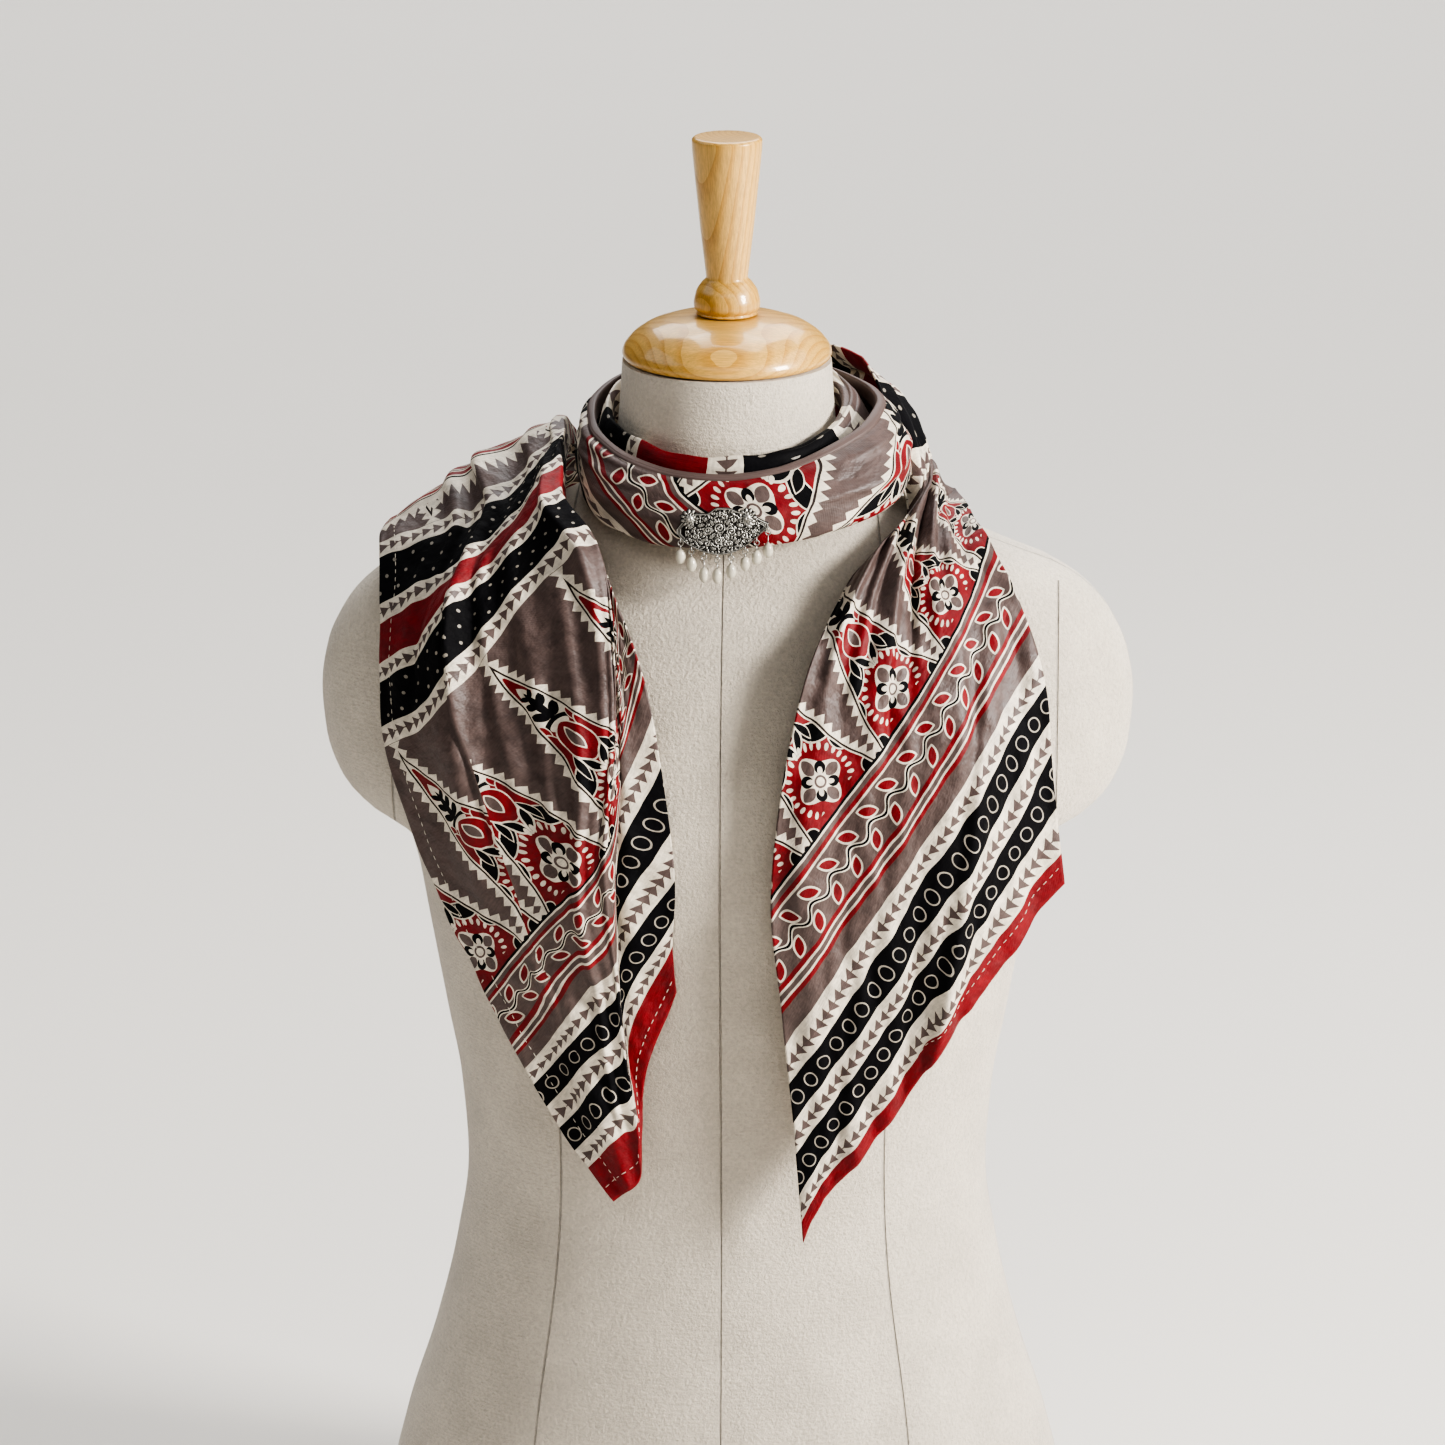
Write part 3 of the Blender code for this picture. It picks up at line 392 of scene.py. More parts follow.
# A notch in a black petal: half width and height, turn, powers
PETAL_NOTCH = (1.3, 2, 0, 2, 2)
ROSETTE_UP = 15
DROPS_RADIUS, DROP_HALF_LONG, DROP_HALF_WIDE, DROP_STEP, DROPS_FROM = 17, 1.9, 1, 13, 3.5

# Print distance across at the outer edge of each tail; the left one leans, so it has two, each
# with the distance from its end hem
RIGHT_PRINT_START = 50
LEFT_PRINT_START = ((142.5, 222), (42, 60))
# Distance of the stitches from the edge in the end and side hems, and how far up the side goes
HEM_LINE, SIDE_HEM_LINE, SIDE_HEM_SHARE = 8, 9, 0.9
# Share of a stitch's length, and how thick it is there
STITCH_PROFILE = ((0, 0.35), (0.25, 1), (0.75, 1), (1, 0.35))
STITCHES_APART, STITCH_WIDE, STITCH_PROUD = 4.6, 0.42, 0.62
# How the stretched cloth carries its print off the rows: places across, then distance from the end
# hem and what is added to it at each place
SLIP_RIGHT_PLACES = (0, 0.15, 0.3, 0.5, 0.75, 1)
SLIP_RIGHT = (
    (0, 7.5, 7.5, 8.5, 10, 12, 10), (12, 7.8, 7.8, 8, 13, 13.5, 14),
    (20, 4, 4, 7, 10.7, 11.8, 14.5), (30, 0, 1.5, 3.5, 9.5, 11.4, 13),
    (42, -6, 0.5, 2, 9.5, 11, 12), (57, -9.5, -3, 0.5, 6.5, 9.4, 11.5),
    (70, -10.5, -8, -2, 2.5, 5.5, 9.5), (82, -11, -9, -3, 2.5, 5, 7.5),
    (92, -11.5, -9.5, -4, 2, 4.5, 7), (125, -14, -11, -8, -3.5, 0, 4.5),
    (136, -17, -12, -9, -5, 0, 5), (150, -23, -15, -10, -5, 1, 5),
    (170, -27, -21, -14, -6, 0, 4), (210, -25, -20, -14, -7, 0, 0),
    (300, 0, 0, 0, 0, 0, 0), (446, 0, 0, 0, 0, 0, 0))
SLIP_LEFT_PLACES = (0, 0.15, 0.3, 0.45, 0.62, 0.68, 1)
SLIP_LEFT = (
    (0, 0, 0, 0, 0, 0, 0, 0), (19, -1, -1, -2, -2.5, 0, 0, 0),
    (32, -2.5, -2.5, -4, -7, -3, 0, 0),
    (50, -3.3, -3.3, -6.5, -10, -8, 0, 0),
    (60, -3.4, -3.4, -5.5, -8.5, -8, 0, 0), (68, -0.5, -0.8, -2.6, -7.5, -7, 0, 0),
    (78, 4, 3, -1, -7.2, -7, 0, 0), (88, 6, 4, -0.5, -9.5, -7, 0, 0),
    (98, 3.5, 0.5, -4.5, -9.8, -6.5, 0, 0), (108, 3, -1, -6, -11, -9, 0, 0),
    (131, 5, 1, -1.5, -6.6, -6, 0, 0), (142, 7, 3, 0, -2, -3, 0, 0),
    (225, 3, 5, 1, -5, 0, 0, 0), (245, 2, 5, -2, -9, -4, 0, 0),
    (266, 0, 5, -3, 0, 0, 0, 0), (300, 0, 0, 0, 0, 0, 0, 0),
    (640, 0, 0, 0, 0, 0, 0, 0))
# Place up the throat stretch's section where its rolled top starts
BAND_ROLL = 0.79
# The roll's plain ground: the print distance that it starts at, and how far it runs on
ROLL_START, ROLL_RUN = 205, 20
# How far the right tail's hem reaches past its last row, at places across; how far up the tail
# that is felt, how fast it fades, and the rows that give its direction
HEM_FADE, HEM_POWER, HEM_ROWS = 34, 1.5, 12
HEM_REACH = ((0, 0), (0.2, 0), (0.38, -1.6), (0.46, 0), (0.54, 4.6), (0.62, 1.6),
             (0.7, 0), (0.8, -3), (0.9, -6.5), (0.96, -4), (1, 1))

# Where the print lies on the throat stretch: angle, then the print's two distances at the lower
# edge and at the upper roll
BAND_PRINT = (
    (-132, -40, 20, -125, 30),
    (-105, -34, 40, -108, 52),
    (-88, -30, 50, -100, 70),
    (-62, -26, 60, -82, 97),
    (-37, -22, 72, -60, 114),
    (-24.4, -17, 88, -46, 124),
    (-16.4, -13, 97, -36, 133),
    (0, -1, 111, -18, 149),
    (25.3, 22.4, 141, 4, 168),
    (37, 37.6, 147, 9, 180),
    (45, 46, 150, 13, 188),
    (64, 62, 156, 34, 198),
    (80, 75, 160, 54, 205),
    (97, 92, 165, 70, 208),
    (132, 132, 172, 112, 215),
)
BAND_PRINT_PLACES = (0.2, 0.83)
# The same along the gathered edge: angle, distance from the end hem
GATHER_PRINT = ((-126, 228), (-80, 243), (-50, 263), (-43, 272.5), (-6, 293),
                (10, 302), (60, 325), (126, 352))


# Brooch: a bent silver plate, read across at steps of x with the heights of its edges
PLATE_STATIONS = (
    (-22.4, 607.6, 609.8),
    (-18, 603, 615),
    (-13, 600.4, 618.2),
    (-7, 598.3, 618.6),
    (-1.8, 597.4, 621.6),
    (4, 598.1, 621.4),
    (9, 599.8, 619.6),
    (14, 602.8, 619.2),
    (19, 606.9, 615.8),
    (23.7, 611, 613.3),
)
PLATE_RADIUS = 89.4
PLATE_WALL = 1.2
PLATE_LEAN = 0.06
PLATE_LEAN_Z = 611
ROSETTES = ((-15.6, 615.6, 4.3), (13.2, 616.6, 4.3))
ROSETTE_RISE, ROSETTE_SPREAD = 1.7, 1.2
ROSETTE_RINGS, ROSETTE_SEGMENTS, ROSETTE_LEAVES = 26, 90, 11
PLATE_GRID = (250, 90)
# How far out of the hollows, 0 to 1, the plate's back, its rings and the drops' wires stand
BACK_HIGH, RING_HIGH, PIN_HIGH = 0.4, 0.8, 0.75
# The relief starts this far inside the plate's front
RELIEF_SUNK = 0.25
# Pearl drops: how far right of the middle, and the height of the pearl's middle
DROPS = ((-20.3, 595.7), (-14.8, 592), (-8.5, 586.7), (-1.8, 586.4),
         (5.2, 589), (12.2, 592.5), (17.9, 595.6), (23.6, 599))
PEARL_WIDE, PEARL_TALL = 5.2, 7.8
WIRE_RADIUS = 0.35
PIN_RADIUS = 0.3
RING_RADIUS = 1.3
RING_SEGMENTS, PEARL_SEGMENTS, PEARL_RINGS = 28, 36, 25
COLLAR_RADIUS = 0.62
# How much fuller a pearl is at one end, and how far it is from round
PEARL_LEAN, PEARL_UNEVEN = 0.1, 0.03
# A direction that no wire runs along
NO_WIRE = (0.31, 0.87, 0.38)
RING_DROP = 1


def colour_setting(name, description, code):
    """A colour that a user can set, its first value given as an sRGB hex colour."""
    return FloatVectorProperty(name=name, description=description, default=linear(code), size=3,
                               subtype="COLOR", min=0, max=1)


class ScarfSettings(bpy.types.PropertyGroup):
    """Cloth and inks of the scarf."""

    wall: FloatProperty(name="Cloth wall", description="Thickness that the cloth is drawn with",
                        default=0.0011, min=0.0002, max=0.002, unit="LENGTH", precision=4)
    red: colour_setting("Madder red", "Red ink of the print", "780D15")
    black: colour_setting("Indigo black", "Black ink of the print", "0C0B0F")
    taupe: colour_setting("Taupe", "Grey brown ground of the print", "564642")
    cream: colour_setting("Cream", "Undyed cloth and the resist lines", "D3C9B9")
    stitch: FloatProperty(name="Stitch length", description="Length of one running stitch",
                          default=0.0027, min=0.001, max=0.006, unit="LENGTH", precision=4)


class FormSettings(bpy.types.PropertyGroup):
    """Cover and turned wood of the dress form."""

    velour: colour_setting("Velour", "Colour of the form's cover", "D1C7B8")
    wood: colour_setting("Wood", "Light part of the lacquered wood", "D6AA5E")
    rings: IntProperty(name="Rings", description="Rings of faces up the form's cover",
                       default=150, min=40, max=260)


class BroochSettings(bpy.types.PropertyGroup):
    """Silver and pearls of the brooch."""

    silver: colour_setting("Silver", "Polished high spots of the plate", "B4B2AC")
    pearl: colour_setting("Pearl", "Body colour of the pearls", "DAD3C1")
    relief: FloatProperty(name="Relief", description="Height of the plate's stamped relief",
                          default=0.0008, min=0.0002, max=0.0015, unit="LENGTH", precision=4)


class StageSettings(bpy.types.PropertyGroup):
    """Floor, lights and lens."""

    floor: colour_setting("Floor", "Colour of the paper floor", "E2DED8")
    key: FloatProperty(name="Key light", description="Power of the main light, in watts",
                       default=165.0, min=0.0, max=400.0)
    lens: FloatProperty(name="Lens", description="Focal length on a 36 mm frame",
                        default=162.9, min=20.0, max=400.0, unit="CAMERA")


def hermite(q, long, start, end, leave, arrive):
    """The cubic between two knots at share q: their distance apart, values and slopes."""
    return ((2 * q ** 3 - 3 * q ** 2 + 1) * start + (q ** 3 - 2 * q ** 2 + q) * long * leave
            + (3 * q ** 2 - 2 * q ** 3) * end + (q ** 3 - q ** 2) * long * arrive)


def monotone(knots, values, at):
    """Smooth curve through the knots that never swings past a value."""
    knots, values, at = (np.asarray(a, float) for a in (knots, values, at))
    step = np.diff(knots)
    slope = np.diff(values) / step
    same = slope[:-1] * slope[1:] > 0.0
    before, after = 2.0 * step[1:] + step[:-1], step[1:] + 2.0 * step[:-1]
    mean = (before + after) / (before / np.where(same, slope[:-1], 1.0)
                               + after / np.where(same, slope[1:], 1.0))
    tangent = np.concatenate([slope[:1], np.where(same, mean, 0.0), slope[-1:]])
    at = np.clip(at, knots[0], knots[-1])
    i = np.clip(np.searchsorted(knots, at, side="right") - 1, 0, len(step) - 1)
    return hermite((at - knots[i]) / step[i], step[i], values[i], values[i + 1],
                   tangent[i], tangent[i + 1])


def spline(knots, values, at):
    """Cardinal spline through rows of points, values shaped (rows, points, 3)."""
    step = np.diff(knots)[:, None, None]
    slope = np.diff(values, axis=0) / step
    inner = (slope[:-1] * step[1:] + slope[1:] * step[:-1]) / (step[:-1] + step[1:])
    tangent = np.concatenate([slope[:1], inner, slope[-1:]])
    i = np.clip(np.searchsorted(knots, at, side="right") - 1, 0, len(knots) - 2)
    return hermite((at - knots[i])[:, None, None] / step[i], step[i], values[i], values[i + 1],
                   tangent[i], tangent[i + 1])


def columns(rows):
    return np.array(rows, float).T


def read(rows, at):
    """Each column of a table read at the given values of its first column."""
    knots, *values = columns(rows)
    return [monotone(knots, column, at) for column in values]


def read_rows(points, places, at):
    """Each row's points joined by a curve and read at the given places across."""
    rows = [[monotone(places, row[:, axis], at) for axis in range(3)] for row in points]
    return np.array(rows).swapaxes(1, 2)


def unit(vectors):
    return vectors / np.linalg.norm(vectors, axis=-1, keepdims=True)


def reached(points):
    """Distance along each row of points from its first one."""
    step = np.linalg.norm(np.diff(points, axis=-2), axis=-1)
    return np.concatenate([np.zeros_like(step[..., :1]), np.cumsum(step, axis=-1)], axis=-1)


def fade(value, none, full):
    """0 to 1 as a value goes from where it counts for nothing to where it counts in full."""
    return np.clip((value - none) / (full - none), 0.0, 1.0)


def form_depths(x, y, z):
    """Half width, stub and depth of the form's section at z, on the side where y is."""
    half, stub, front, back = read(FORM_SECTIONS, z)
    mound = BUST_RISE * np.exp(-((np.abs(x) - BUST_X) / BUST_SPREAD_X) ** 2
                               - ((z - BUST_Z) / BUST_SPREAD_Z) ** 2)
    return half, stub, np.where(y < 0.0, front + mound, back)


def form_field(p):
    """Above zero outside the form, below zero inside it."""
    half, stub, depth = form_depths(p[..., 0], p[..., 1], p[..., 2])
    wide = np.abs(p[..., 0])
    share = wide / (half + stub)
    # Newton's steps to the share of the width at which the section is this wide
    for _ in range(5):
        over = half * share + stub * share ** STUB_POWER - wide
        share = share - over / (half + STUB_POWER * stub * share ** (STUB_POWER - 1))
    return share ** 2 + (p[..., 1] / depth) ** 2 - 1.0


def form_gradient(p):
    return np.stack([(form_field(p + move) - form_field(p - move)) / (2.0 * SLOPE_STEP)
                     for move in SLOPE_STEP * np.eye(3)], axis=-1)


def clear_of_form(points, lift):
    """Points nearer the form than lift are moved straight out of it."""
    p = points.copy()
    for _ in range(6):
        slope = form_gradient(p)
        length = np.maximum(np.linalg.norm(slope, axis=-1), 1e-6)
        short = np.clip(lift - form_field(p) / length, 0.0, LONGEST_PUSH)
        p += slope / length[..., None] * short[..., None]
    return p


def clear_of_band(points, lift):
    """Points that would lie in the throat stretch, or just inside its face, go outside it."""
    x, y, z = np.moveaxis(points, -1, 0)
    radius = np.hypot(x, y)
    phi = np.degrees(np.arctan2(x, -y))
    low_r, low_z, mid_r, mid_z, top_r, top_z = read(BAND_ROWS, phi)
    face = np.where(z > mid_z, mid_r + (top_r - mid_r) * fade(z, mid_z, top_z) ** BAND_BULGE,
                    low_r + (mid_r - low_r) * fade(z, low_z, mid_z))
    beside = (z > low_z - BAND_BELOW) & (np.abs(phi) < BAND_END - 1.0)
    pushed = np.where(beside, np.maximum(radius, face + lift), radius) / radius
    return np.stack([x * pushed, y * pushed, z], axis=-1)


def ring_section(phi, section):
    """Points of a section at each angle round the neck, from its radii and heights."""
    turn = np.radians(phi)
    return np.stack([np.stack([radius * np.sin(turn), -radius * np.cos(turn), height], axis=-1)
                     for radius, height in section], axis=1)


def band_section(phi):
    """Control points up the throat stretch's section at each angle, lower tuck to upper tuck."""
    low_r, low_z, mid_r, mid_z, top_r, top_z = read(BAND_ROWS, phi)
    return ring_section(phi, (
        (low_r - BAND_TUCK_IN, low_z + BAND_TUCK_UP), (low_r - 3.0, low_z + 0.6),
        (low_r, low_z + 1.0), (mid_r, mid_z),
        (0.5 * (mid_r + top_r) + 2.0, 0.45 * mid_z + 0.55 * top_z), (top_r, top_z - 1.4),
        (top_r - 2.6, top_z - 0.4), (top_r - ROLL_TUCK_IN, top_z - ROLL_TUCK_DOWN)))


def join_row(side, places):
    """Where a tail meets the throat stretch: points up the stretch's face, just past its end."""
    low, top = BAND_FACE
    share = low + (top - low) * np.array(places)
    x, y, z = read_rows(band_section(np.array([side * BAND_END])), BAND_PLACES, share)[0].T
    turn = math.radians(side * JOIN_STEP)
    cos, sin = math.cos(turn), math.sin(turn)
    return np.stack([x * cos - y * sin, x * sin + y * cos, z], axis=-1)


def crumple(along, wide):
    """Small uneven waves of soft cloth, in millimetres, from its print distances."""
    total = np.zeros(np.broadcast(along, wide).shape)
    for rate_along, rate_wide, start, height in CRUMPLE_WAVES:
        bend = BEND_HIGH * np.sin(BEND_ALONG * along + BEND_WIDE * wide + start)
        total += height * np.sin(rate_along * along + rate_wide * wide + start + bend)
    return total


def pressed(creases, stations, place):
    """How far the creases stand out of the cloth at each point of a grid."""
    height = np.zeros((len(stations), len(place)))
    for start, end, place_start, place_end, outer, inner, rise in creases:
        share = fade(stations, start, end)[:, None]
        off = place[None, :] - (place_start + (place_end - place_start) * share)
        width = np.where(off < 0.0, outer, inner)
        height += rise * np.sin(math.pi * share) ** CREASE_POWER * np.exp(-(off / width) ** 2)
    return height


def tail_surface(table, end, side, places, creases, stations, at, lift):
    """Grid on a tail's middle surface, read from its table and set clear of what it lies on."""
    knots = np.array([row[0] for row in table] + [end])
    control = np.array([row[1:] for row in table] + [join_row(side, places)])
    points = read_rows(spline(knots, control, stations), places, at)
    lifts = lift(stations)[:, None]
    points = clear_of_form(points, lifts)
    near_end = fade(stations, stations[-1], stations[-1] - JOINT_FADE)[:, None]
    height = pressed(creases, stations, at)
    height += crumple(stations[:, None], reached(points)) * near_end
    points += unit(form_gradient(points)) * height[..., None]
    points = clear_of_band(points, BAND_LIFT)
    return clear_of_form(points, lifts)


def print_across(points, start):
    """The print's distance across a grid of cloth, its lines square to the rows."""
    reach = reached(points)
    tangent = unit(np.diff(points, axis=1))
    slide = np.einsum("rcx,rcx->rc", points[1:, :-1] - points[:-1, :-1], tangent[:-1])
    shift = slide.mean(axis=1) + (reach[:-1] - reach[1:]).mean(axis=1)
    begin = start + np.concatenate([[0.0], np.cumsum(shift)])
    return begin[:, None] + reach


def slipped(stations, at, table, places):
    """Print distance from the end hem at each point of a tail's grid."""
    added = np.stack(read(table, stations), axis=1)
    return stations[:, None] + np.array([np.interp(at, places, row) for row in added])


def grid_print(wide, long):
    """The print's two distances at the four corners of each face of a grid."""
    pair = np.stack([wide, long], axis=-1)
    return np.stack([pair[:-1, :-1], pair[:-1, 1:], pair[1:, 1:], pair[1:, :-1]], axis=2)


def tail_print(points, long, folds, start):
    """Print distances at the corners of every face; the print starts again at each fold."""
    return np.concatenate([
        grid_print(print_across(points[:, first:last + 1], start), long[:, first:last + 1])
        for first, last in zip(folds[:-1], folds[1:])], axis=1)


def grid_mesh(name, points, closed=False):
    """Mesh of quads through a rows by columns grid of points in millimetres."""
    rows, count = points.shape[:2]
    column = np.arange(count if closed else count - 1)
    row = np.arange(rows - 1)[:, None]
    following = (column + 1) % count
    faces = np.stack([row * count + column, row * count + following,
                      (row + 1) * count + following, (row + 1) * count + column], axis=-1)
    mesh = bpy.data.meshes.new(name)
    mesh.from_pydata((points.reshape(-1, 3) * MM).tolist(), [], faces.reshape(-1, 4).tolist())
    mesh.shade_smooth()
    return mesh


def round_verts(shell, middle, reach, across, up):
    """A ring of points about a middle in millimetres, each at its own reach from it."""
    turns = np.linspace(0.0, 2.0 * math.pi, len(reach), endpoint=False)
    return [shell.verts.new((middle + out * (math.cos(turn) * across + math.sin(turn) * up)) * MM)
            for turn, out in zip(turns, reach)]


def join_rings(shell, rings):
    """Faces from each ring of points to the next, where a ring may be a single point."""
    faces = []
    for one, two in zip(rings[:-1], rings[1:]):
        for k in range(max(len(one), len(two))):
            corners = (one[k % len(one)], one[(k + 1) % len(one)],
                       two[(k + 1) % len(two)], two[k % len(two)])
            faces.append(shell.faces.new(list(dict.fromkeys(corners))))
    return faces


def capped(shell, rings):
    """Faces between the rings, and one over each end."""
    return join_rings(shell, rings) + [shell.faces.new(rings[0][::-1]), shell.faces.new(rings[-1])]


def close_shell(shell, mesh):
    """Writes a bmesh into a mesh, its faces turned outwards and smooth."""
    bmesh.ops.recalc_face_normals(shell, faces=shell.faces)
    shell.to_mesh(mesh)
    shell.free()
    mesh.shade_smooth()
    return mesh


def add_piece(name, mesh, finishes, body):
    """Puts a mesh in the scene with its finishes, on its body."""
    made = bpy.data.objects.new(name, mesh)
    for finish in finishes:
        mesh.materials.append(finish)
    bpy.context.scene.collection.objects.link(made)
    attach(made, body)
    return made


def cloth_piece(name, points, corners, settings):
    """A thin shell of printed cloth on a grid of points."""
    mesh = grid_mesh(name, points)
    layer = mesh.uv_layers.new(name="print")
    layer.data.foreach_set("uv", (corners * MM).astype(np.float32).ravel())
    made = add_piece(name, mesh, [shared(printed_modal_silk, settings)], "form")
    shell = made.modifiers.new("wall", "SOLIDIFY")
    shell.thickness = settings.wall
    shell.offset = 0.0
    return made


def stitch_run(name, points, path, long):
    """Running stitches along a path of grid places, each a small rounded bar on the cloth."""
    rows, count = points.shape[:2]
    place = np.array(path, float)
    r, c = np.minimum(place.astype(int), [rows - 2, count - 2]).T
    a, b = place[:, :1] - r[:, None], place[:, 1:] - c[:, None]
    on = ((1 - a) * (1 - b) * points[r, c] + (1 - a) * b * points[r, c + 1]
          + a * (1 - b) * points[r + 1, c] + a * b * points[r + 1, c + 1])
    normal = unit(np.cross(points[r, c + 1] - points[r, c], points[r + 1, c] - points[r, c]))
    normal *= np.sign(np.einsum("ij,ij->i", normal, form_gradient(on)))[:, None]
    reach = reached(on)

    def along(values, at):
        return np.array([np.interp(at, reach, column) for column in values.T])

    shell = bmesh.new()
    for begin in np.arange(1.0, reach[-1] - long, STITCHES_APART):
        rings = []
        for part, size in STITCH_PROFILE:
            at = begin + long * part
            centre, out = along(on, at), along(normal, at)
            aside = np.cross(unit(along(on, at + 0.5) - centre), out)
            centre = centre + out * (STITCH_PROUD - 0.25 * (1.0 - size))
            rings.append(round_verts(shell, centre, [0.5 * STITCH_WIDE * size] * 6, aside, out))
        capped(shell, rings)
    mesh = close_shell(shell, bpy.data.meshes.new(name))
    return add_piece(name, mesh, [shared(stitching_cotton)], "form")


def end_hem(stations, count):
    """Path of the stitches in a tail's end hem, in rows and columns of its grid."""
    row = np.interp(HEM_LINE, stations, np.arange(len(stations)))
    return [(row, column) for column in range(1, count - 1)]


def lathe(name, profile, segments):
    """A closed body turned from radii and heights, its first and last points on the axis."""
    shell = bmesh.new()
    join_rings(shell, [round_verts(shell, height * AXIS_Z, [radius] * (segments if radius else 1),
                                   AXIS_X, AXIS_Y) for radius, height in profile])
    return close_shell(shell, bpy.data.meshes.new(name))


def rounded(profile, radius, count=4):
    """A profile with each corner turned into a small curve of about the given radius."""
    corners = np.array(profile)
    made = [corners[0]]
    for before, corner, after in zip(corners[:-2], corners[1:-1], corners[2:]):
        back, ahead = before - corner, after - corner
        reach = min(radius, 0.45 * np.linalg.norm(back), 0.45 * np.linalg.norm(ahead))
        first, last = corner + unit(back) * reach, corner + unit(ahead) * reach
        made += [(1 - s) ** 2 * first + 2 * s * (1 - s) * corner + s ** 2 * last
                 for s in np.linspace(0.0, 1.0, count + 1)]
    return made + [corners[-1]]


def wire_path(shell, path, radius, sides=8, closed=False):
    """A round wire along a path of points in millimetres, added to a bmesh."""
    path = np.array(path, float)
    ends = path[[-1, 0]] if closed else path[[0, -1]]
    rings = []
    for before, point, after in zip([ends[0], *path], path, [*path[1:], ends[1]]):
        ahead = unit(after - before)
        side = unit(np.cross(ahead, NO_WIRE))
        rings.append(round_verts(shell, point, [radius] * sides, side, np.cross(ahead, side)))
    faces = []
    for one, two in zip(rings, rings[1:] + rings[:1] * closed):
        turn = min(range(sides), key=lambda k: (one[0].co - two[k].co).length)
        faces += join_rings(shell, [one, two[turn:] + two[:turn]])
    if not closed:
        faces += [shell.faces.new(rings[0][::-1]), shell.faces.new(rings[-1])]
    return faces


def wire_ring(shell, middle, across):
    """A ring of wire, standing up."""
    path = [middle + RING_RADIUS * (math.cos(turn) * across + math.sin(turn) * AXIS_Z)
            for turn in np.linspace(0.0, 2.0 * math.pi, RING_SEGMENTS, endpoint=False)]
    return wire_path(shell, path, WIRE_RADIUS - 0.05, closed=True)


def mark_height(faces, layer, height):
    """Marks how far the faces stand out of the silver's hollows."""
    for face in faces:
        for vert in face.verts:
            vert[layer] = height


def plate_depth(x, z):
    """How far in front of the axis the plate's middle layer is."""
    return np.sqrt(PLATE_RADIUS ** 2 - x ** 2) - PLATE_LEAN * (z - PLATE_LEAN_Z)


def ring_place(x):
    """Middle of the plate's ring for the drop at x."""
    z = read(PLATE_STATIONS, x)[0] - RING_DROP
    return np.array([x, -plate_depth(x, z), z])


def fill(made, inputs):
    """Sets a node's inputs: a socket is linked in, and a value becomes the input's own."""
    for key, value in inputs.items():
        if isinstance(value, bpy.types.NodeSocket):
            made.id_data.links.new(value, made.inputs[key])
        else:
            made.inputs[key].default_value = value


def add_node(tree, kind, *values, out=0, **settings):
    """Adds a node with its settings and links; gives the output asked for, or the node itself."""
    made = tree.nodes.new("ShaderNode" + kind)
    for name, value in settings.items():
        setattr(made, name, value)
    for key, value in enumerate(values):
        fill(made, value if isinstance(value, dict) else {key: value})
    return made if out is None else made.outputs[out]


def new_finish(name):
    """A material, the function that adds nodes to it, and its shader."""
    made = bpy.data.materials.new(name)
    made.use_nodes = True
    tree = made.node_tree
    return made, functools.partial(add_node, tree), tree.nodes["Principled BSDF"]


def opaque(colour, share=1.0):
    """A colour with its alpha, darkened to a share."""
    return (*(share * part for part in colour), 1.0)


def away(add, one, other):
    """How far apart two distances are."""
    return add("Math", add("Math", one, other, operation="SUBTRACT"), operation="ABSOLUTE")


def stepped(add, place, rows):
    """Gives each stretch of a distance its own colour or numbers, with hard edges."""
    share = add("Math", place, PRINT_SCALE, operation="DIVIDE")
    ramp = add("ValToRGB", share, out=None)
    stops = ramp.color_ramp
    stops.interpolation = "CONSTANT"
    for i, (start, value) in enumerate(rows):
        stop = stops.elements[i] if i < 2 else stops.elements.new(start / PRINT_SCALE)
        stop.position = start / PRINT_SCALE
        stop.color = opaque(value)
    return ramp.outputs[0]


def inked(add, under, ink, shape, limit, within=1.0):
    """Prints one ink over the colour beneath, wherever a shape's value is under a limit."""
    share = add("Math", shape, limit, operation="LESS_THAN")
    share = add("Math", share, within, operation="MULTIPLY")
    return add("Mix", share, {6: under, 7: opaque(ink)}, out=2, data_type="RGBA")


def printed_mark(add, place, across, up, half_wide, half_high, turn, point_x, point_y):
    """Below 1 inside one mark of the block, above 1 outside it."""
    local = add("Mapping", {"Vector": place, "Location": (across, up, 0.0),
                            "Rotation": (0.0, 0.0, math.radians(turn)),
                            "Scale": (half_wide, half_high, 1.0)}, vector_type="TEXTURE")
    off = add("VectorMath", local, operation="ABSOLUTE")
    shaped = add("VectorMath", off, (point_x, point_y, 1.0), operation="POWER")
    return add("VectorMath", shaped, (1.0, 1.0, 0.0), out=1, operation="DOT_PRODUCT")


def wrapped(add, value, period):
    """Distance from the middle of the repeat that a value falls in."""
    share = add("Math", value, period, operation="FLOORED_MODULO")
    return add("Math", share, period / 2.0, operation="SUBTRACT")


def far_from(add, across, up):
    """Distance of a point from the middle of its mark."""
    place = add("CombineXYZ", across, up)
    return add("VectorMath", place, out=1, operation="LENGTH")


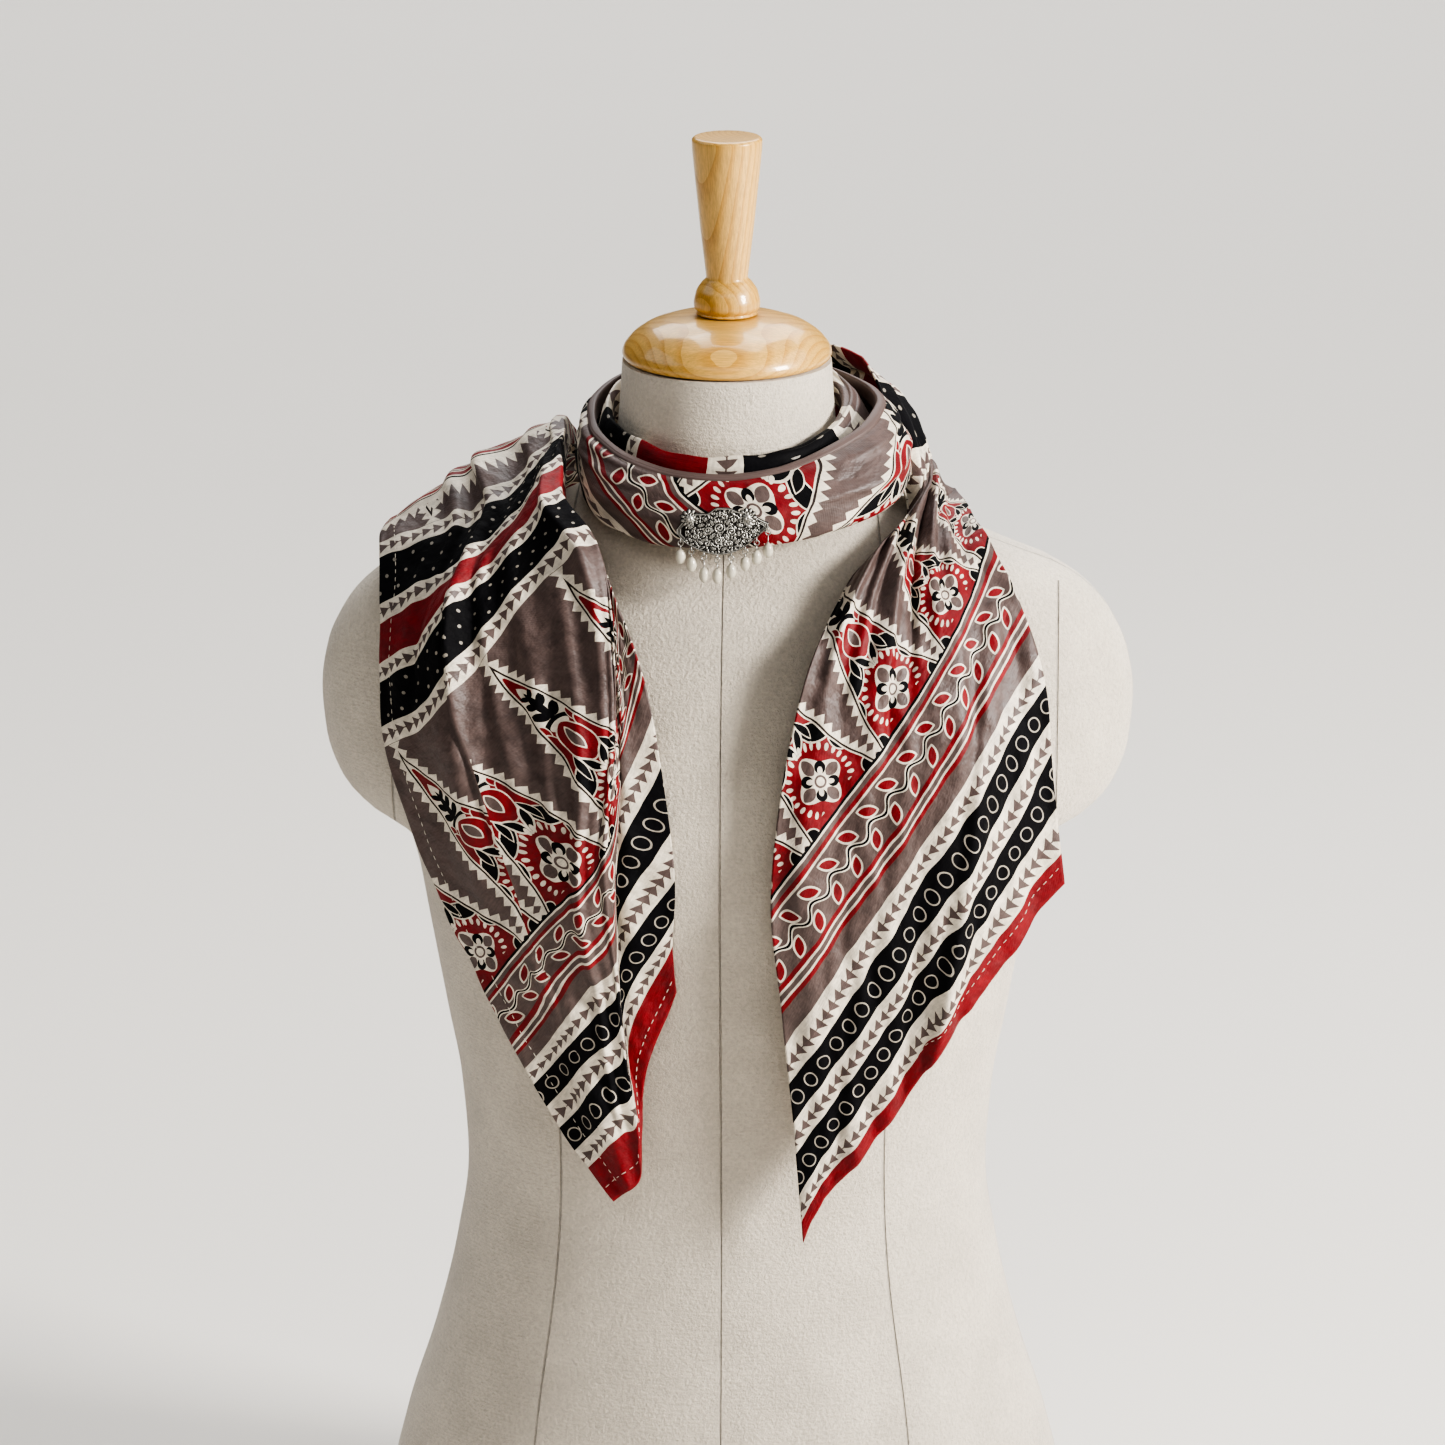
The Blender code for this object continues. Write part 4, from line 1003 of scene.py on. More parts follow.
def border_rows(add, inks, u, v):
    """The border's plain stripes, triangle strips, ringed, dotted and vine strips."""
    colour = stepped(add, v, [(start, inks[ink]) for start, ink in PRINT_ROWS])
    starts = [(0.0, (0.0, 0.0, 0.0))]
    for start, middle, end in TRIANGLE_STRIPS:
        starts += [(start, (middle / PRINT_SCALE, 0.0, 0.0)), (end, (0.0, 0.0, 0.0))]
    lookup = add("SeparateXYZ", stepped(add, v, starts))
    middle = add("Math", lookup, PRINT_SCALE, operation="MULTIPLY")
    off = away(add, v, middle)
    ahead = add("Math", u, TRIANGLE_PITCH, operation="FLOORED_MODULO")
    slope = add("Math", ahead, -TRIANGLE_HALF / TRIANGLE_LONG, TRIANGLE_HALF,
                operation="MULTIPLY_ADD")
    half = add("Math", slope, 0.25, operation="MAXIMUM")
    in_strip = add("Math", middle, 1.0, operation="GREATER_THAN")
    colour = inked(add, colour, inks["taupe"], off, half, in_strip)

    apart = RING_STRIPS[1] - RING_STRIPS[0]
    ring_off = add("Math", v, RING_STRIPS[0] - apart / 2.0, operation="SUBTRACT")
    ring_far = far_from(add, wrapped(add, u, RING_PITCH), wrapped(add, ring_off, apart))
    rim = away(add, ring_far, RING_MID_RADIUS)
    on_black = add("Math", v, *RINGED_PART, operation="COMPARE")
    ink = [RING_TONE * part for part in inks["cream"]]
    colour = inked(add, colour, ink, rim, RING_STROKE, on_black)

    dot_off = add("Math", v, DOTTED_STRIP[0], operation="SUBTRACT")
    dot_row = add("Math", dot_off, DOT_ROWS_APART, operation="DIVIDE")
    dot_row = add("Math", dot_row, operation="ROUND")
    side_step = add("Math", dot_row, operation="ABSOLUTE")
    stagger = add("Math", side_step, DOT_PITCH / 2.0, u, operation="MULTIPLY_ADD")
    row_off = add("Math", dot_row, -DOT_ROWS_APART, dot_off, operation="MULTIPLY_ADD")
    dot_far = far_from(add, wrapped(add, stagger, DOT_PITCH), row_off)
    on_black = add("Math", v, *DOTTED_STRIP, operation="COMPARE")
    ink = [DOT_TONE * part for part in inks["cream"]]
    colour = inked(add, colour, ink, dot_far, DOT_RADIUS, on_black)

    in_vine = add("Math", v, *VINE_STRIP, operation="COMPARE")
    vine_off = add("Math", v, VINE_STRIP[0], operation="SUBTRACT")
    wave = add("Math", u, 2.0 * math.pi / VINE_PERIOD, operation="MULTIPLY")
    wave = add("Math", wave, operation="SINE")
    stem = add("Math", wave, -VINE_SWING, vine_off, operation="MULTIPLY_ADD")
    stem = add("Math", stem, operation="ABSOLUTE")
    over = add("Math", vine_off, 0.0, operation="GREATER_THAN")
    leaf_on = add("Math", over, VINE_PERIOD / 2.0, u, operation="MULTIPLY_ADD")
    leaf_up = add("Math", vine_off, operation="ABSOLUTE")
    leaf_place = add("CombineXYZ", wrapped(add, leaf_on, VINE_PERIOD), leaf_up)
    leaf = printed_mark(add, leaf_place, *VINE_LEAF)
    colour = inked(add, colour, inks["cream"], leaf, VINE_LEAF_RIM, in_vine)
    colour = inked(add, colour, inks["cream"], stem, VINE_EDGE, in_vine)
    colour = inked(add, colour, inks["red"], leaf, VINE_LEAF_FILL, in_vine)
    return inked(add, colour, inks["black"], stem, VINE_HALF, in_vine)


def panel_inside(add, inks, place, up):
    """The flowered filling of a pointed panel, mirrored about the panel's middle."""
    field = add("Math", up, FIELD_TOP, operation="LESS_THAN")
    colour = add("Mix", field, {6: opaque(inks["cream"]), 7: opaque(inks["red"])}, out=2,
                 data_type="RGBA")
    for *shape, ink, outline in PANEL_MARKS:
        value = printed_mark(add, place, *shape)
        if outline:
            colour = inked(add, colour, inks["cream"], value, 1.0 + outline)
        colour = inked(add, colour, inks[ink], value, 1.0)

    local = add("VectorMath", place, (0.0, ROSETTE_UP, 0.0), operation="SUBTRACT")
    far = add("VectorMath", local, out=1, operation="LENGTH")
    split = add("SeparateXYZ", local, out=None)
    angle = add("Math", split.outputs[1], split.outputs[0], operation="ARCTAN2")

    swing = wrapped(add, angle, math.radians(DROP_STEP))
    swing = add("Math", swing, DROPS_RADIUS, operation="MULTIPLY")
    out = add("Math", far, DROPS_RADIUS, operation="SUBTRACT")
    drop_place = add("CombineXYZ", swing, out)
    drop = printed_mark(add, drop_place, 0.0, 0.0, DROP_HALF_WIDE, DROP_HALF_LONG, 0.0, 2.0, 2.0)
    clear_of_base = add("Math", up, DROPS_FROM, operation="GREATER_THAN")
    colour = inked(add, colour, inks["cream"], drop, 1.0, clear_of_base)

    lobes = add("Math", angle, ROSETTE_LOBES, operation="MULTIPLY")
    lobes = add("Math", lobes, operation="COSINE")
    edge = add("Math", lobes, LOBE_RISE, LOBE_RADIUS, operation="MULTIPLY_ADD")
    colour = inked(add, colour, inks["cream"], far, edge)
    for start, middle, half_long, half_wide, power, ink in ROSETTE_PETALS:
        turned = add("Math", angle, math.radians(start + 45.0), operation="ADD")
        turned = wrapped(add, turned, math.radians(90.0))
        aside = add("Math", turned, operation="SINE")
        aside = add("Math", aside, far, operation="MULTIPLY")
        along = add("Math", turned, operation="COSINE")
        along = add("Math", along, far, operation="MULTIPLY")
        petal_place = add("CombineXYZ", aside, along)
        petal = printed_mark(add, petal_place, 0.0, middle, half_wide, half_long, 0.0, power, 2.0)
        colour = inked(add, colour, inks[ink], petal, 1.0)
        if ink == "black":
            notch = printed_mark(add, petal_place, 0.0, middle - 1.6, *PETAL_NOTCH)
            colour = inked(add, colour, inks["cream"], notch, 1.0)
    return inked(add, colour, inks["taupe"], away(add, far, ROSETTE_EYE), EYE_STROKE)


def pointed_panels(add, inks, colour, u, v):
    """Rows of pointed panels with saw toothed edges, standing on the border's black line."""
    up = add("Math", v, PANEL_START, operation="SUBTRACT")
    aside = add("Math", wrapped(add, u, PANEL_PERIOD), operation="ABSOLUTE")
    place = add("CombineXYZ", aside, up)
    slope = PANEL_HALF / PANEL_HEIGHT
    square = 1.0 / math.sqrt(1.0 + slope ** 2)
    out = add("Math", up, slope, aside, operation="MULTIPLY_ADD")
    out = add("Math", out, PANEL_HALF, operation="SUBTRACT")
    out = add("Math", out, square, operation="MULTIPLY")
    climb = add("Math", up, 1.0 / square / TOOTH_PITCH * 2.0, operation="MULTIPLY")
    tooth = add("Math", climb, 1.0, operation="PINGPONG")
    reach = add("Math", tooth, TOOTH_RISE, TOOTH_FOOT, operation="MULTIPLY_ADD")
    in_row = add("Math", v, *PANEL_ROW, operation="COMPARE")
    colour = inked(add, colour, inks["cream"], out, reach, in_row)
    filling = panel_inside(add, inks, place, up)
    inside = add("Math", out, -PANEL_RIM, operation="LESS_THAN")
    inside = add("Math", inside, in_row, operation="MULTIPLY")
    colour = add("Mix", inside, {6: colour, 7: filling}, out=2, data_type="RGBA")
    line = add("Math", out, operation="ABSOLUTE")
    ink = [LINE_TONE * part for part in inks["taupe"]]
    return inked(add, colour, ink, line, PANEL_LINE, in_row)


def shoulder_border(add, inks, under, u, v):
    """A toothed border of fine lines across the cloth, over the tips of the mirrored panels."""
    off = add("Math", v, SHOULDER_BORDER, operation="SUBTRACT")
    tooth = add("Math", u, TOOTH_PITCH / 2.0, operation="PINGPONG")
    edge = add("Math", tooth, -2.0 * SHOULDER_TOOTH / TOOTH_PITCH, operation="MULTIPLY")
    in_teeth = add("Math", off, -SHOULDER_TOOTH / 2.0, SHOULDER_TOOTH / 2.0, operation="COMPARE")
    colour = inked(add, under, inks["cream"], edge, off, in_teeth)
    rows = stepped(add, off, [(start, inks[ink]) for start, ink in SHOULDER_ROWS])
    on_rows = add("Math", off, SHOULDER_WIDE / 2.0, SHOULDER_WIDE / 2.0, operation="COMPARE")
    return add("Mix", on_rows, {6: colour, 7: rows}, out=2, data_type="RGBA")


def printed_modal_silk(settings):
    """Modal silk in a satin weave, hand block printed in madder, iron black and kashish grey.

    It gives the eye a soft satin gloss along the folds, flat inks with slightly uneven cover,
    and fine slubs across the cloth.
    """
    made, add, shader = new_finish("printed_modal_silk")
    inks = {name: tuple(getattr(settings, name)) for name in ("red", "black", "taupe", "cream")}
    flat = add("UVMap", uv_map="print")
    mm = add("VectorMath", flat, {"Scale": 1.0 / MM}, operation="SCALE")
    hand = add("TexNoise", {"Vector": mm, "Scale": 0.06, "Detail": 2.0}, out=1)
    hand = add("VectorMath", hand, (0.5, 0.5, 0.5), operation="SUBTRACT")
    # The block never lands quite true: the print wanders by about half a millimetre
    mm = add("VectorMath", hand, (1.3, 1.3, 0.0), mm, operation="MULTIPLY_ADD")
    split = add("SeparateXYZ", mm, out=None)
    u = split.outputs[0]
    v = add("Math", split.outputs[1], PRINT_TURN, operation="PINGPONG")
    colour = border_rows(add, inks, u, v)
    colour = pointed_panels(add, inks, colour, u, v)
    colour = shoulder_border(add, inks, colour, u, split.outputs[1])
    # The dark inks lie flat and matte, and the paler ground keeps the satin's gloss
    pale = add("RGBToBW", colour)
    gloss = add("MapRange", pale, 0.01, 0.07, 0.15, 0.55)

    # Ink cover varies over 4 to 20 mm, and slubs 0.7 mm wide run across
    cover = add("TexNoise", {"Vector": mm, "Scale": 0.11, "Detail": 5.0, "Roughness": 0.62})
    shade = add("MapRange", cover, 0.3, 0.7, 0.72, 1.3)
    slub_place = add("VectorMath", mm, (0.22, 1.4, 1.0), operation="MULTIPLY")
    slub = add("TexNoise", {"Vector": slub_place, "Scale": 1.0, "Detail": 3.0})
    slub_shade = add("MapRange", slub, 0.3, 0.7, 0.86, 1.14)
    shade = add("Math", shade, slub_shade, operation="MULTIPLY")
    colour = add("VectorMath", colour, {"Scale": shade}, operation="SCALE")
    rough = add("MapRange", cover, 0.3, 0.7, 0.44, 0.58)
    flatter = add("MapRange", pale, 0.01, 0.07, 0.2, 0.0)
    rough = add("Math", rough, flatter, operation="ADD")

    # Real threads are 0.12 mm apart: drawn 0.9 mm apart so that they show
    weave = add("TexWave", {"Vector": mm, "Scale": 0.55, "Distortion": 1.0, "Detail": 1.0}, out=1,
                bands_direction="DIAGONAL")
    soft = add("TexNoise", {"Vector": mm, "Scale": 0.12, "Detail": 3.0, "Roughness": 0.5})
    bump = add("Bump", {"Strength": 0.16, "Distance": 0.00025, "Height": weave})
    bump = add("Bump", {"Strength": 0.3, "Distance": 0.0004, "Height": slub, "Normal": bump})
    bump = add("Bump", {"Strength": 0.5, "Distance": 0.003, "Height": soft, "Normal": bump})
    fill(shader, {"Specular IOR Level": gloss, "Base Color": colour, "Roughness": rough,
                  "Sheen Weight": 0.05, "Sheen Roughness": 0.3, "Normal": bump})
    return made


def stitching_cotton():
    """Ring spun cotton thread, matte with a faint twist."""
    made, add, shader = new_finish("stitching_cotton")
    place = add("TexCoord", out=3)
    twist = add("TexNoise", {"Vector": place, "Scale": 1600.0, "Detail": 1.0})
    colour = add("Mix", twist, {6: opaque(linear("BDB3A2")), 7: opaque(linear("EFE9DC"))},
                 out=2, data_type="RGBA")
    fill(shader, {"Base Color": colour, "Roughness": 0.75})
    return made


# Princess seams: height, then how far each stands from the middle; the curve's whole extent
PRINCESS_SEAM = ((0.0, 104.0), (100.0, 99.0), (245.0, 84.0), (436.0, 92.0), (560.0, 84.0),
                 (600.0, 78.0))
CURVE_HIGH, CURVE_WIDE = 700.0, 200.0
# Armhole seam: distance from the middle, lowest and highest point
ARMHOLE_SEAM = (170.5, 432.0, 566.0)
# Height at which the middle seam ends, least distance out of the side seam, half width of a seam's
# groove where it is deepest and where it ends, and a distance that puts a seam out of reach
MIDDLE_SEAM_TOP, SIDE_SEAM_FROM, SEAM_GROOVE, OUT_OF_REACH = 612.0, 110.0, (0.1, 0.7), 100.0


def stretched_velour(settings):
    """Cotton velour stretched over the form: a short pebbled pile, sewn in gored panels."""
    made, add, shader = new_finish("stretched_velour")
    place = add("TexCoord", out=3)
    mm = add("VectorMath", place, {"Scale": 1.0 / MM}, operation="SCALE")
    split = add("SeparateXYZ", mm, out=None)
    wide = add("Math", split.outputs[0], operation="ABSOLUTE")
    height = split.outputs[2]
    share = add("Math", height, CURVE_HIGH, operation="DIVIDE")
    bend = add("FloatCurve", {1: share}, out=None)
    curve = bend.mapping.curves[0]
    for i, (z, x) in enumerate(PRINCESS_SEAM):
        place = (z / CURVE_HIGH, x / CURVE_WIDE)
        point = curve.points[i] if i < 2 else curve.points.new(*place)
        point.location = place
    bend.mapping.update()
    princess = add("Math", bend.outputs[0], -CURVE_WIDE, wide, operation="MULTIPLY_ADD")
    princess = add("Math", princess, operation="ABSOLUTE")
    stub, low, high = ARMHOLE_SEAM
    in_stub = add("Math", height, 0.5 * (low + high), 0.5 * (high - low), operation="COMPARE")
    armhole = add("Math", in_stub, -OUT_OF_REACH, away(add, wide, stub), operation="MULTIPLY_ADD")
    armhole = add("Math", armhole, OUT_OF_REACH, operation="ADD")
    side = add("Math", split.outputs[1], operation="ABSOLUTE")
    off_side = add("Math", wide, SIDE_SEAM_FROM, operation="LESS_THAN")
    side = add("Math", off_side, OUT_OF_REACH, side, operation="MULTIPLY_ADD")
    off_middle = add("Math", height, MIDDLE_SEAM_TOP, operation="GREATER_THAN")
    middle = add("Math", off_middle, OUT_OF_REACH, wide, operation="MULTIPLY_ADD")
    nearest = princess
    for other in (armhole, side, middle):
        nearest = add("Math", nearest, other, operation="MINIMUM")
    seam = add("MapRange", nearest, *SEAM_GROOVE, 0.0, 1.0, interpolation_type="SMOOTHSTEP")

    # The pile lies in tufts 2 mm across, and the cover shades over 30 mm
    pile = add("TexNoise", {"Vector": mm, "Scale": 0.5, "Detail": 4.0, "Roughness": 0.7})
    broad = add("TexNoise", {"Vector": mm, "Scale": 0.03, "Detail": 2.0})
    ribs = add("TexWave", {"Vector": mm, "Scale": 0.16, "Distortion": 2.0, "Detail": 2.0}, out=1,
               bands_direction="Z")
    tone = add("MapRange", pile, 0.3, 0.7, 0.86, 1.12)
    for shading in ((broad, 0.3, 0.7, 0.93, 1.07), (seam, 0.0, 1.0, 0.7, 1.0)):
        tone = add("Math", tone, add("MapRange", *shading), operation="MULTIPLY")
    colour = add("VectorMath", tuple(settings.velour), {"Scale": tone}, operation="SCALE")
    bump = add("Bump", {"Strength": 0.25, "Distance": 0.0003, "Height": ribs})
    bump = add("Bump", {"Strength": 1.0, "Distance": 0.0014, "Height": pile, "Normal": bump})
    bump = add("Bump", {"Strength": 1.0, "Distance": 0.0012, "Height": seam, "Normal": bump})
    fill(shader, {"Base Color": colour, "Roughness": 0.9, "Sheen Weight": 0.3,
                  "Sheen Roughness": 0.5, "Normal": bump})
    return made


# Share of each colour channel that the late wood of a growth ring keeps
LATE_WOOD = (0.8, 0.7, 0.5)


def lacquered_ash(settings, name, pith, grain):
    """Ash turned on a lathe, clear lacquered: open grain under a hard gloss.

    The growth rings run round the pith, a line through a point along the grain's axis.
    """
    made, add, shader = new_finish(name)
    place = add("TexCoord", out=3)
    mm = add("VectorMath", place, {"Scale": 1.0 / MM}, operation="SCALE")
    mm = add("VectorMath", mm, pith, operation="SUBTRACT")
    along = tuple(0.08 if axis == grain else 1.0 for axis in "XYZ")
    squeezed = add("VectorMath", mm, along, operation="MULTIPLY")
    warp = add("TexNoise", {"Vector": squeezed, "Scale": 0.05, "Detail": 2.0})
    # Growth rings about 3 mm apart
    rings = add("TexWave", {"Vector": squeezed, "Scale": 0.1, "Distortion": 1.6, "Detail": 1.0,
                            "Detail Scale": 0.2}, out=1, wave_type="RINGS", wave_profile="SAW",
                rings_direction=grain)
    pores = add("TexNoise", {"Vector": squeezed, "Scale": 1.3, "Detail": 4.0, "Roughness": 0.7})
    ramp = add("ValToRGB", rings, out=None)
    early, late = ramp.color_ramp.elements
    early.position, late.position = 0.5, 1.0
    early.color = opaque(settings.wood)
    late.color = opaque([part * share for part, share in zip(settings.wood, LATE_WOOD)])
    tone = add("MapRange", pores, 0.35, 0.65, 0.78, 1.12)
    broad = add("MapRange", warp, 0.3, 0.7, 0.9, 1.1)
    tone = add("Math", tone, broad, operation="MULTIPLY")
    colour = add("VectorMath", ramp.outputs[0], {"Scale": tone}, operation="SCALE")
    bump = add("Bump", {"Strength": 0.25, "Distance": 0.0002, "Height": pores})
    fill(shader, {"Base Color": colour, "Roughness": 0.38, "Coat Weight": 0.55,
                  "Coat Roughness": 0.08, "Normal": bump})
    return made


def oxidised_silver(settings):
    """Stamped silver, darkened with sulphur and rubbed back: black hollows, bright high spots."""
    made, add, shader = new_finish("oxidised_silver")
    high = add("Attribute", attribute_name="high", out=2)
    place = add("TexCoord", out=3)
    # Rubbing scratches 0.2 mm apart
    scratch = add("TexNoise", {"Vector": place, "Scale": 4000.0, "Detail": 2.0})
    high = add("Math", scratch, 0.3, high, operation="MULTIPLY_ADD")
    rubbed = add("MapRange", high, 0.4, 0.85, 0.0, 1.0, interpolation_type="SMOOTHSTEP")
    colour = add("Mix", rubbed, {6: opaque(linear("302E2C")), 7: opaque(settings.silver)}, out=2,
                 data_type="RGBA")
    rough = add("MapRange", rubbed, 0.0, 1.0, 0.6, 0.36)
    bump = add("Bump", {"Strength": 0.3, "Distance": 0.00008, "Height": scratch})
    fill(shader, {"Base Color": colour, "Metallic": 1.0, "Roughness": rough, "Normal": bump})
    return made


def freshwater_pearl(settings):
    """Freshwater pearl, polished nacre: a deep soft gloss over a slightly uneven skin."""
    made, add, shader = new_finish("freshwater_pearl")
    place = add("TexCoord", out=3)
    cloud = add("TexNoise", {"Vector": place, "Scale": 420.0, "Detail": 2.0})
    colour = add("Mix", cloud, {6: opaque(settings.pearl, 0.66), 7: opaque(settings.pearl)},
                 out=2, data_type="RGBA")
    bump = add("Bump", {"Strength": 0.2, "Distance": 0.0002, "Height": cloud})
    fill(shader, {"Base Color": colour, "Roughness": 0.28, "Coat Weight": 0.6,
                  "Coat Roughness": 0.08, "Normal": bump})
    return made


def studio_paper(settings):
    """Matte studio paper, rolled flat."""
    made, add, shader = new_finish("studio_paper")
    place = add("TexCoord", out=3)
    grain = add("TexNoise", {"Vector": place, "Scale": 3.0, "Detail": 2.0})
    colour = add("Mix", grain, {6: opaque(settings.floor, 0.98), 7: opaque(settings.floor)},
                 out=2, data_type="RGBA")
    fill(shader, {"Base Color": colour, "Roughness": 0.95})
    return made


def shared(make, *settings):
    """A finish made once and used again, named as the function that makes it."""
    return bpy.data.materials.get(make.__name__) or make(*settings)


def form_shell(rings):
    """Rings of points up the dress form, in millimetres."""
    z = np.linspace(0.0, FORM_HEIGHT, rings)[:, None]
    turn = np.linspace(0.0, 2.0 * math.pi, FORM_SEGMENTS, endpoint=False)[None, :]
    side = np.cos(turn)
    half, stub = read(FORM_SECTIONS, z)[:2]
    x = half * side + stub * np.sign(side) * np.abs(side) ** STUB_POWER
    z = np.broadcast_to(z, x.shape)
    y = form_depths(x, np.sin(turn) + 0.0 * z, z)[2] * np.sin(turn)
    return np.stack([x, y, z], axis=-1)


class SCARF_OT_form(bpy.types.Operator):
    """Covers the dress form in stretched velour"""

    bl_idname = "scarf.form"
    bl_label = "Dress form"

    def execute(self, context):
        settings = context.scene.form_settings
        mesh = grid_mesh("form_cover", form_shell(settings.rings), closed=True)
        shell = bmesh.new()
        shell.from_mesh(mesh)
        bmesh.ops.holes_fill(shell, edges=shell.edges, sides=FORM_SEGMENTS)
        close_shell(shell, mesh)
        mesh.set_sharp_from_angle(angle=math.radians(SHARP_FORM))
        made = add_piece("form_cover", mesh, [stretched_velour(settings)], "form")
        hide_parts("dress_form")
        return {"FINISHED"}


class SCARF_OT_wood(bpy.types.Operator):
    """Turns the wooden neck cap and the finial"""

    bl_idname = "scarf.wood"
    bl_label = "Neck cap and finial"

    def execute(self, context):
        settings = context.scene.form_settings
        for node, profile, radius, pith, grain in TURNINGS:
            mesh = lathe(f"{node}_turned", rounded(profile, radius), WOOD_SEGMENTS)
            mesh.set_sharp_from_angle(angle=math.radians(SHARP_WOOD))
            wood = lacquered_ash(settings, f"lacquered_ash_{node}", pith, grain)
            made = add_piece(f"{node}_turned", mesh, [wood], "form")
            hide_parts(node)
        return {"FINISHED"}


def throat_stretch():
    """Points of the throat stretch and the print's distances at the corners of its faces."""
    phi = np.linspace(-BAND_END, BAND_END, THROAT_GRID[0])
    at = np.linspace(0.0, 1.0, THROAT_GRID[1])
    points = read_rows(band_section(phi), BAND_PLACES, at)
    outward = ring_section(phi, [(1.0, 0.0 * phi)])
    shown = fade(at, *LOW_FADE) * fade(at, *TOP_FADE)
    ends = fade(np.abs(phi), BAND_END, BAND_END - END_FADE)[:, None]
    height = pressed(CREASES_BAND, phi, at)
    height += THROAT_CRUMPLE * crumple(DEGREE_LONG * phi[:, None], SECTION_LONG * at)
    points = points + outward * (height * shown * ends)[..., None]

    low, top = BAND_PRINT_PLACES
    share = (at - low) / (top - low)
    low_u, low_v, top_u, top_v = read(BAND_PRINT, phi[:, None])
    wide = low_u + (top_u - low_u) * share + PANEL_PERIOD / 2.0
    corners = grid_print(wide, low_v + (top_v - low_v) * share)
    # Above the groove the cloth is rolled: its plain ground shows there
    rolled = np.nonzero(at > BAND_ROLL)[0][0]
    plain = grid_print(0.0 * wide, ROLL_START + ROLL_RUN * share + 0.0 * wide)
    corners[:, rolled:] = plain[:, rolled:]
    return points, corners


def gathered_edge():
    """The same for the gathered edge between the throat stretch and the neck."""
    phi = np.linspace(FOLD_ROWS[0][0], FOLD_ROWS[-1][0], GATHER_GRID[0])
    at = np.linspace(0.0, 1.0, GATHER_GRID[1])
    inner, outer, top = read(FOLD_ROWS, phi)
    leg = read(BAND_ROWS, phi)[4] - ROLL_TUCK_IN - CLOTH_WALL - GAP
    lift = sum(high * np.sin(rate * phi + start) for high, rate, start in GATHER_WAVES)
    points = read_rows(ring_section(phi, (
        (inner, top - FOLD_DEPTH), (inner, top - GATHER_TURN), (0.5 * (inner + outer), top + lift),
        (outer, top - GATHER_TURN), (leg, top - FOLD_DEPTH * FAR_SHARE))), FOLD_PLACES, at)
    layers = LAYER_HIGH * np.sin(LAYER_TURNS * at + LAYER_DRIFT * phi[:, None])
    layers *= np.clip((phi[:, None] - GROW_FROM) / GROW_OVER, GROW_LEAST, 1.0)
    layers *= fade(at, 0.0, 0.2) * fade(at, 0.8, 0.7)
    # Each layer steps down and in towards the neck
    points += layers[..., None] * ring_section(phi, [(-LAYER_LEAN, 1.0 + 0.0 * phi)])
    along = read(GATHER_PRINT, phi[:, None])[0] + 0.0 * at
    return points, grid_print(GATHER_RUN * at + GATHER_START + 0.0 * along, along)


class SCARF_OT_throat(bpy.types.Operator):
    """Drapes the throat stretch and the gathered edge behind it"""

    bl_idname = "scarf.throat"
    bl_label = "Throat stretch"

    def execute(self, context):
        settings = context.scene.scarf_settings
        made = cloth_piece("scarf_throat", *throat_stretch(), settings)
        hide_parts("throat_stretch")
        made = cloth_piece("scarf_gathers", *gathered_edge(), settings)
        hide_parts("gathered_edge")
        return {"FINISHED"}


class SCARF_OT_right_tail(bpy.types.Operator):
    """Drapes the right-hand tail and stitches its end hem"""

    bl_idname = "scarf.right_tail"
    bl_label = "Right tail"

    def execute(self, context):
        settings = context.scene.scarf_settings
        stations = np.linspace(0.0, TAIL_RIGHT_END, RIGHT_GRID[0])
        at = np.linspace(0.0, 1.0, RIGHT_GRID[1])
        points = tail_surface(TAIL_RIGHT_ROWS, TAIL_RIGHT_END, -1.0, RIGHT_PLACES,
                              CREASES_RIGHT, stations, at,
                              lambda along: np.interp(along, *zip(*RIGHT_LIFTS)))
        reach = np.interp(at, *zip(*HEM_REACH))[:, None]
        near_hem = fade(stations, HEM_FADE, 0.0)[:, None, None] ** HEM_POWER
        points = points + near_hem * reach * unit(points[0] - points[HEM_ROWS])
        corners = tail_print(points, slipped(stations, at, SLIP_RIGHT, SLIP_RIGHT_PLACES),
                             (0, len(at) - 1), RIGHT_PRINT_START)
        made = cloth_piece("scarf_right_tail", points, corners, settings)
        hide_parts("right_tail")
        thread = stitch_run("right_tail_stitches", points, end_hem(stations, len(at)),
                            settings.stitch / MM)
        return {"FINISHED"}


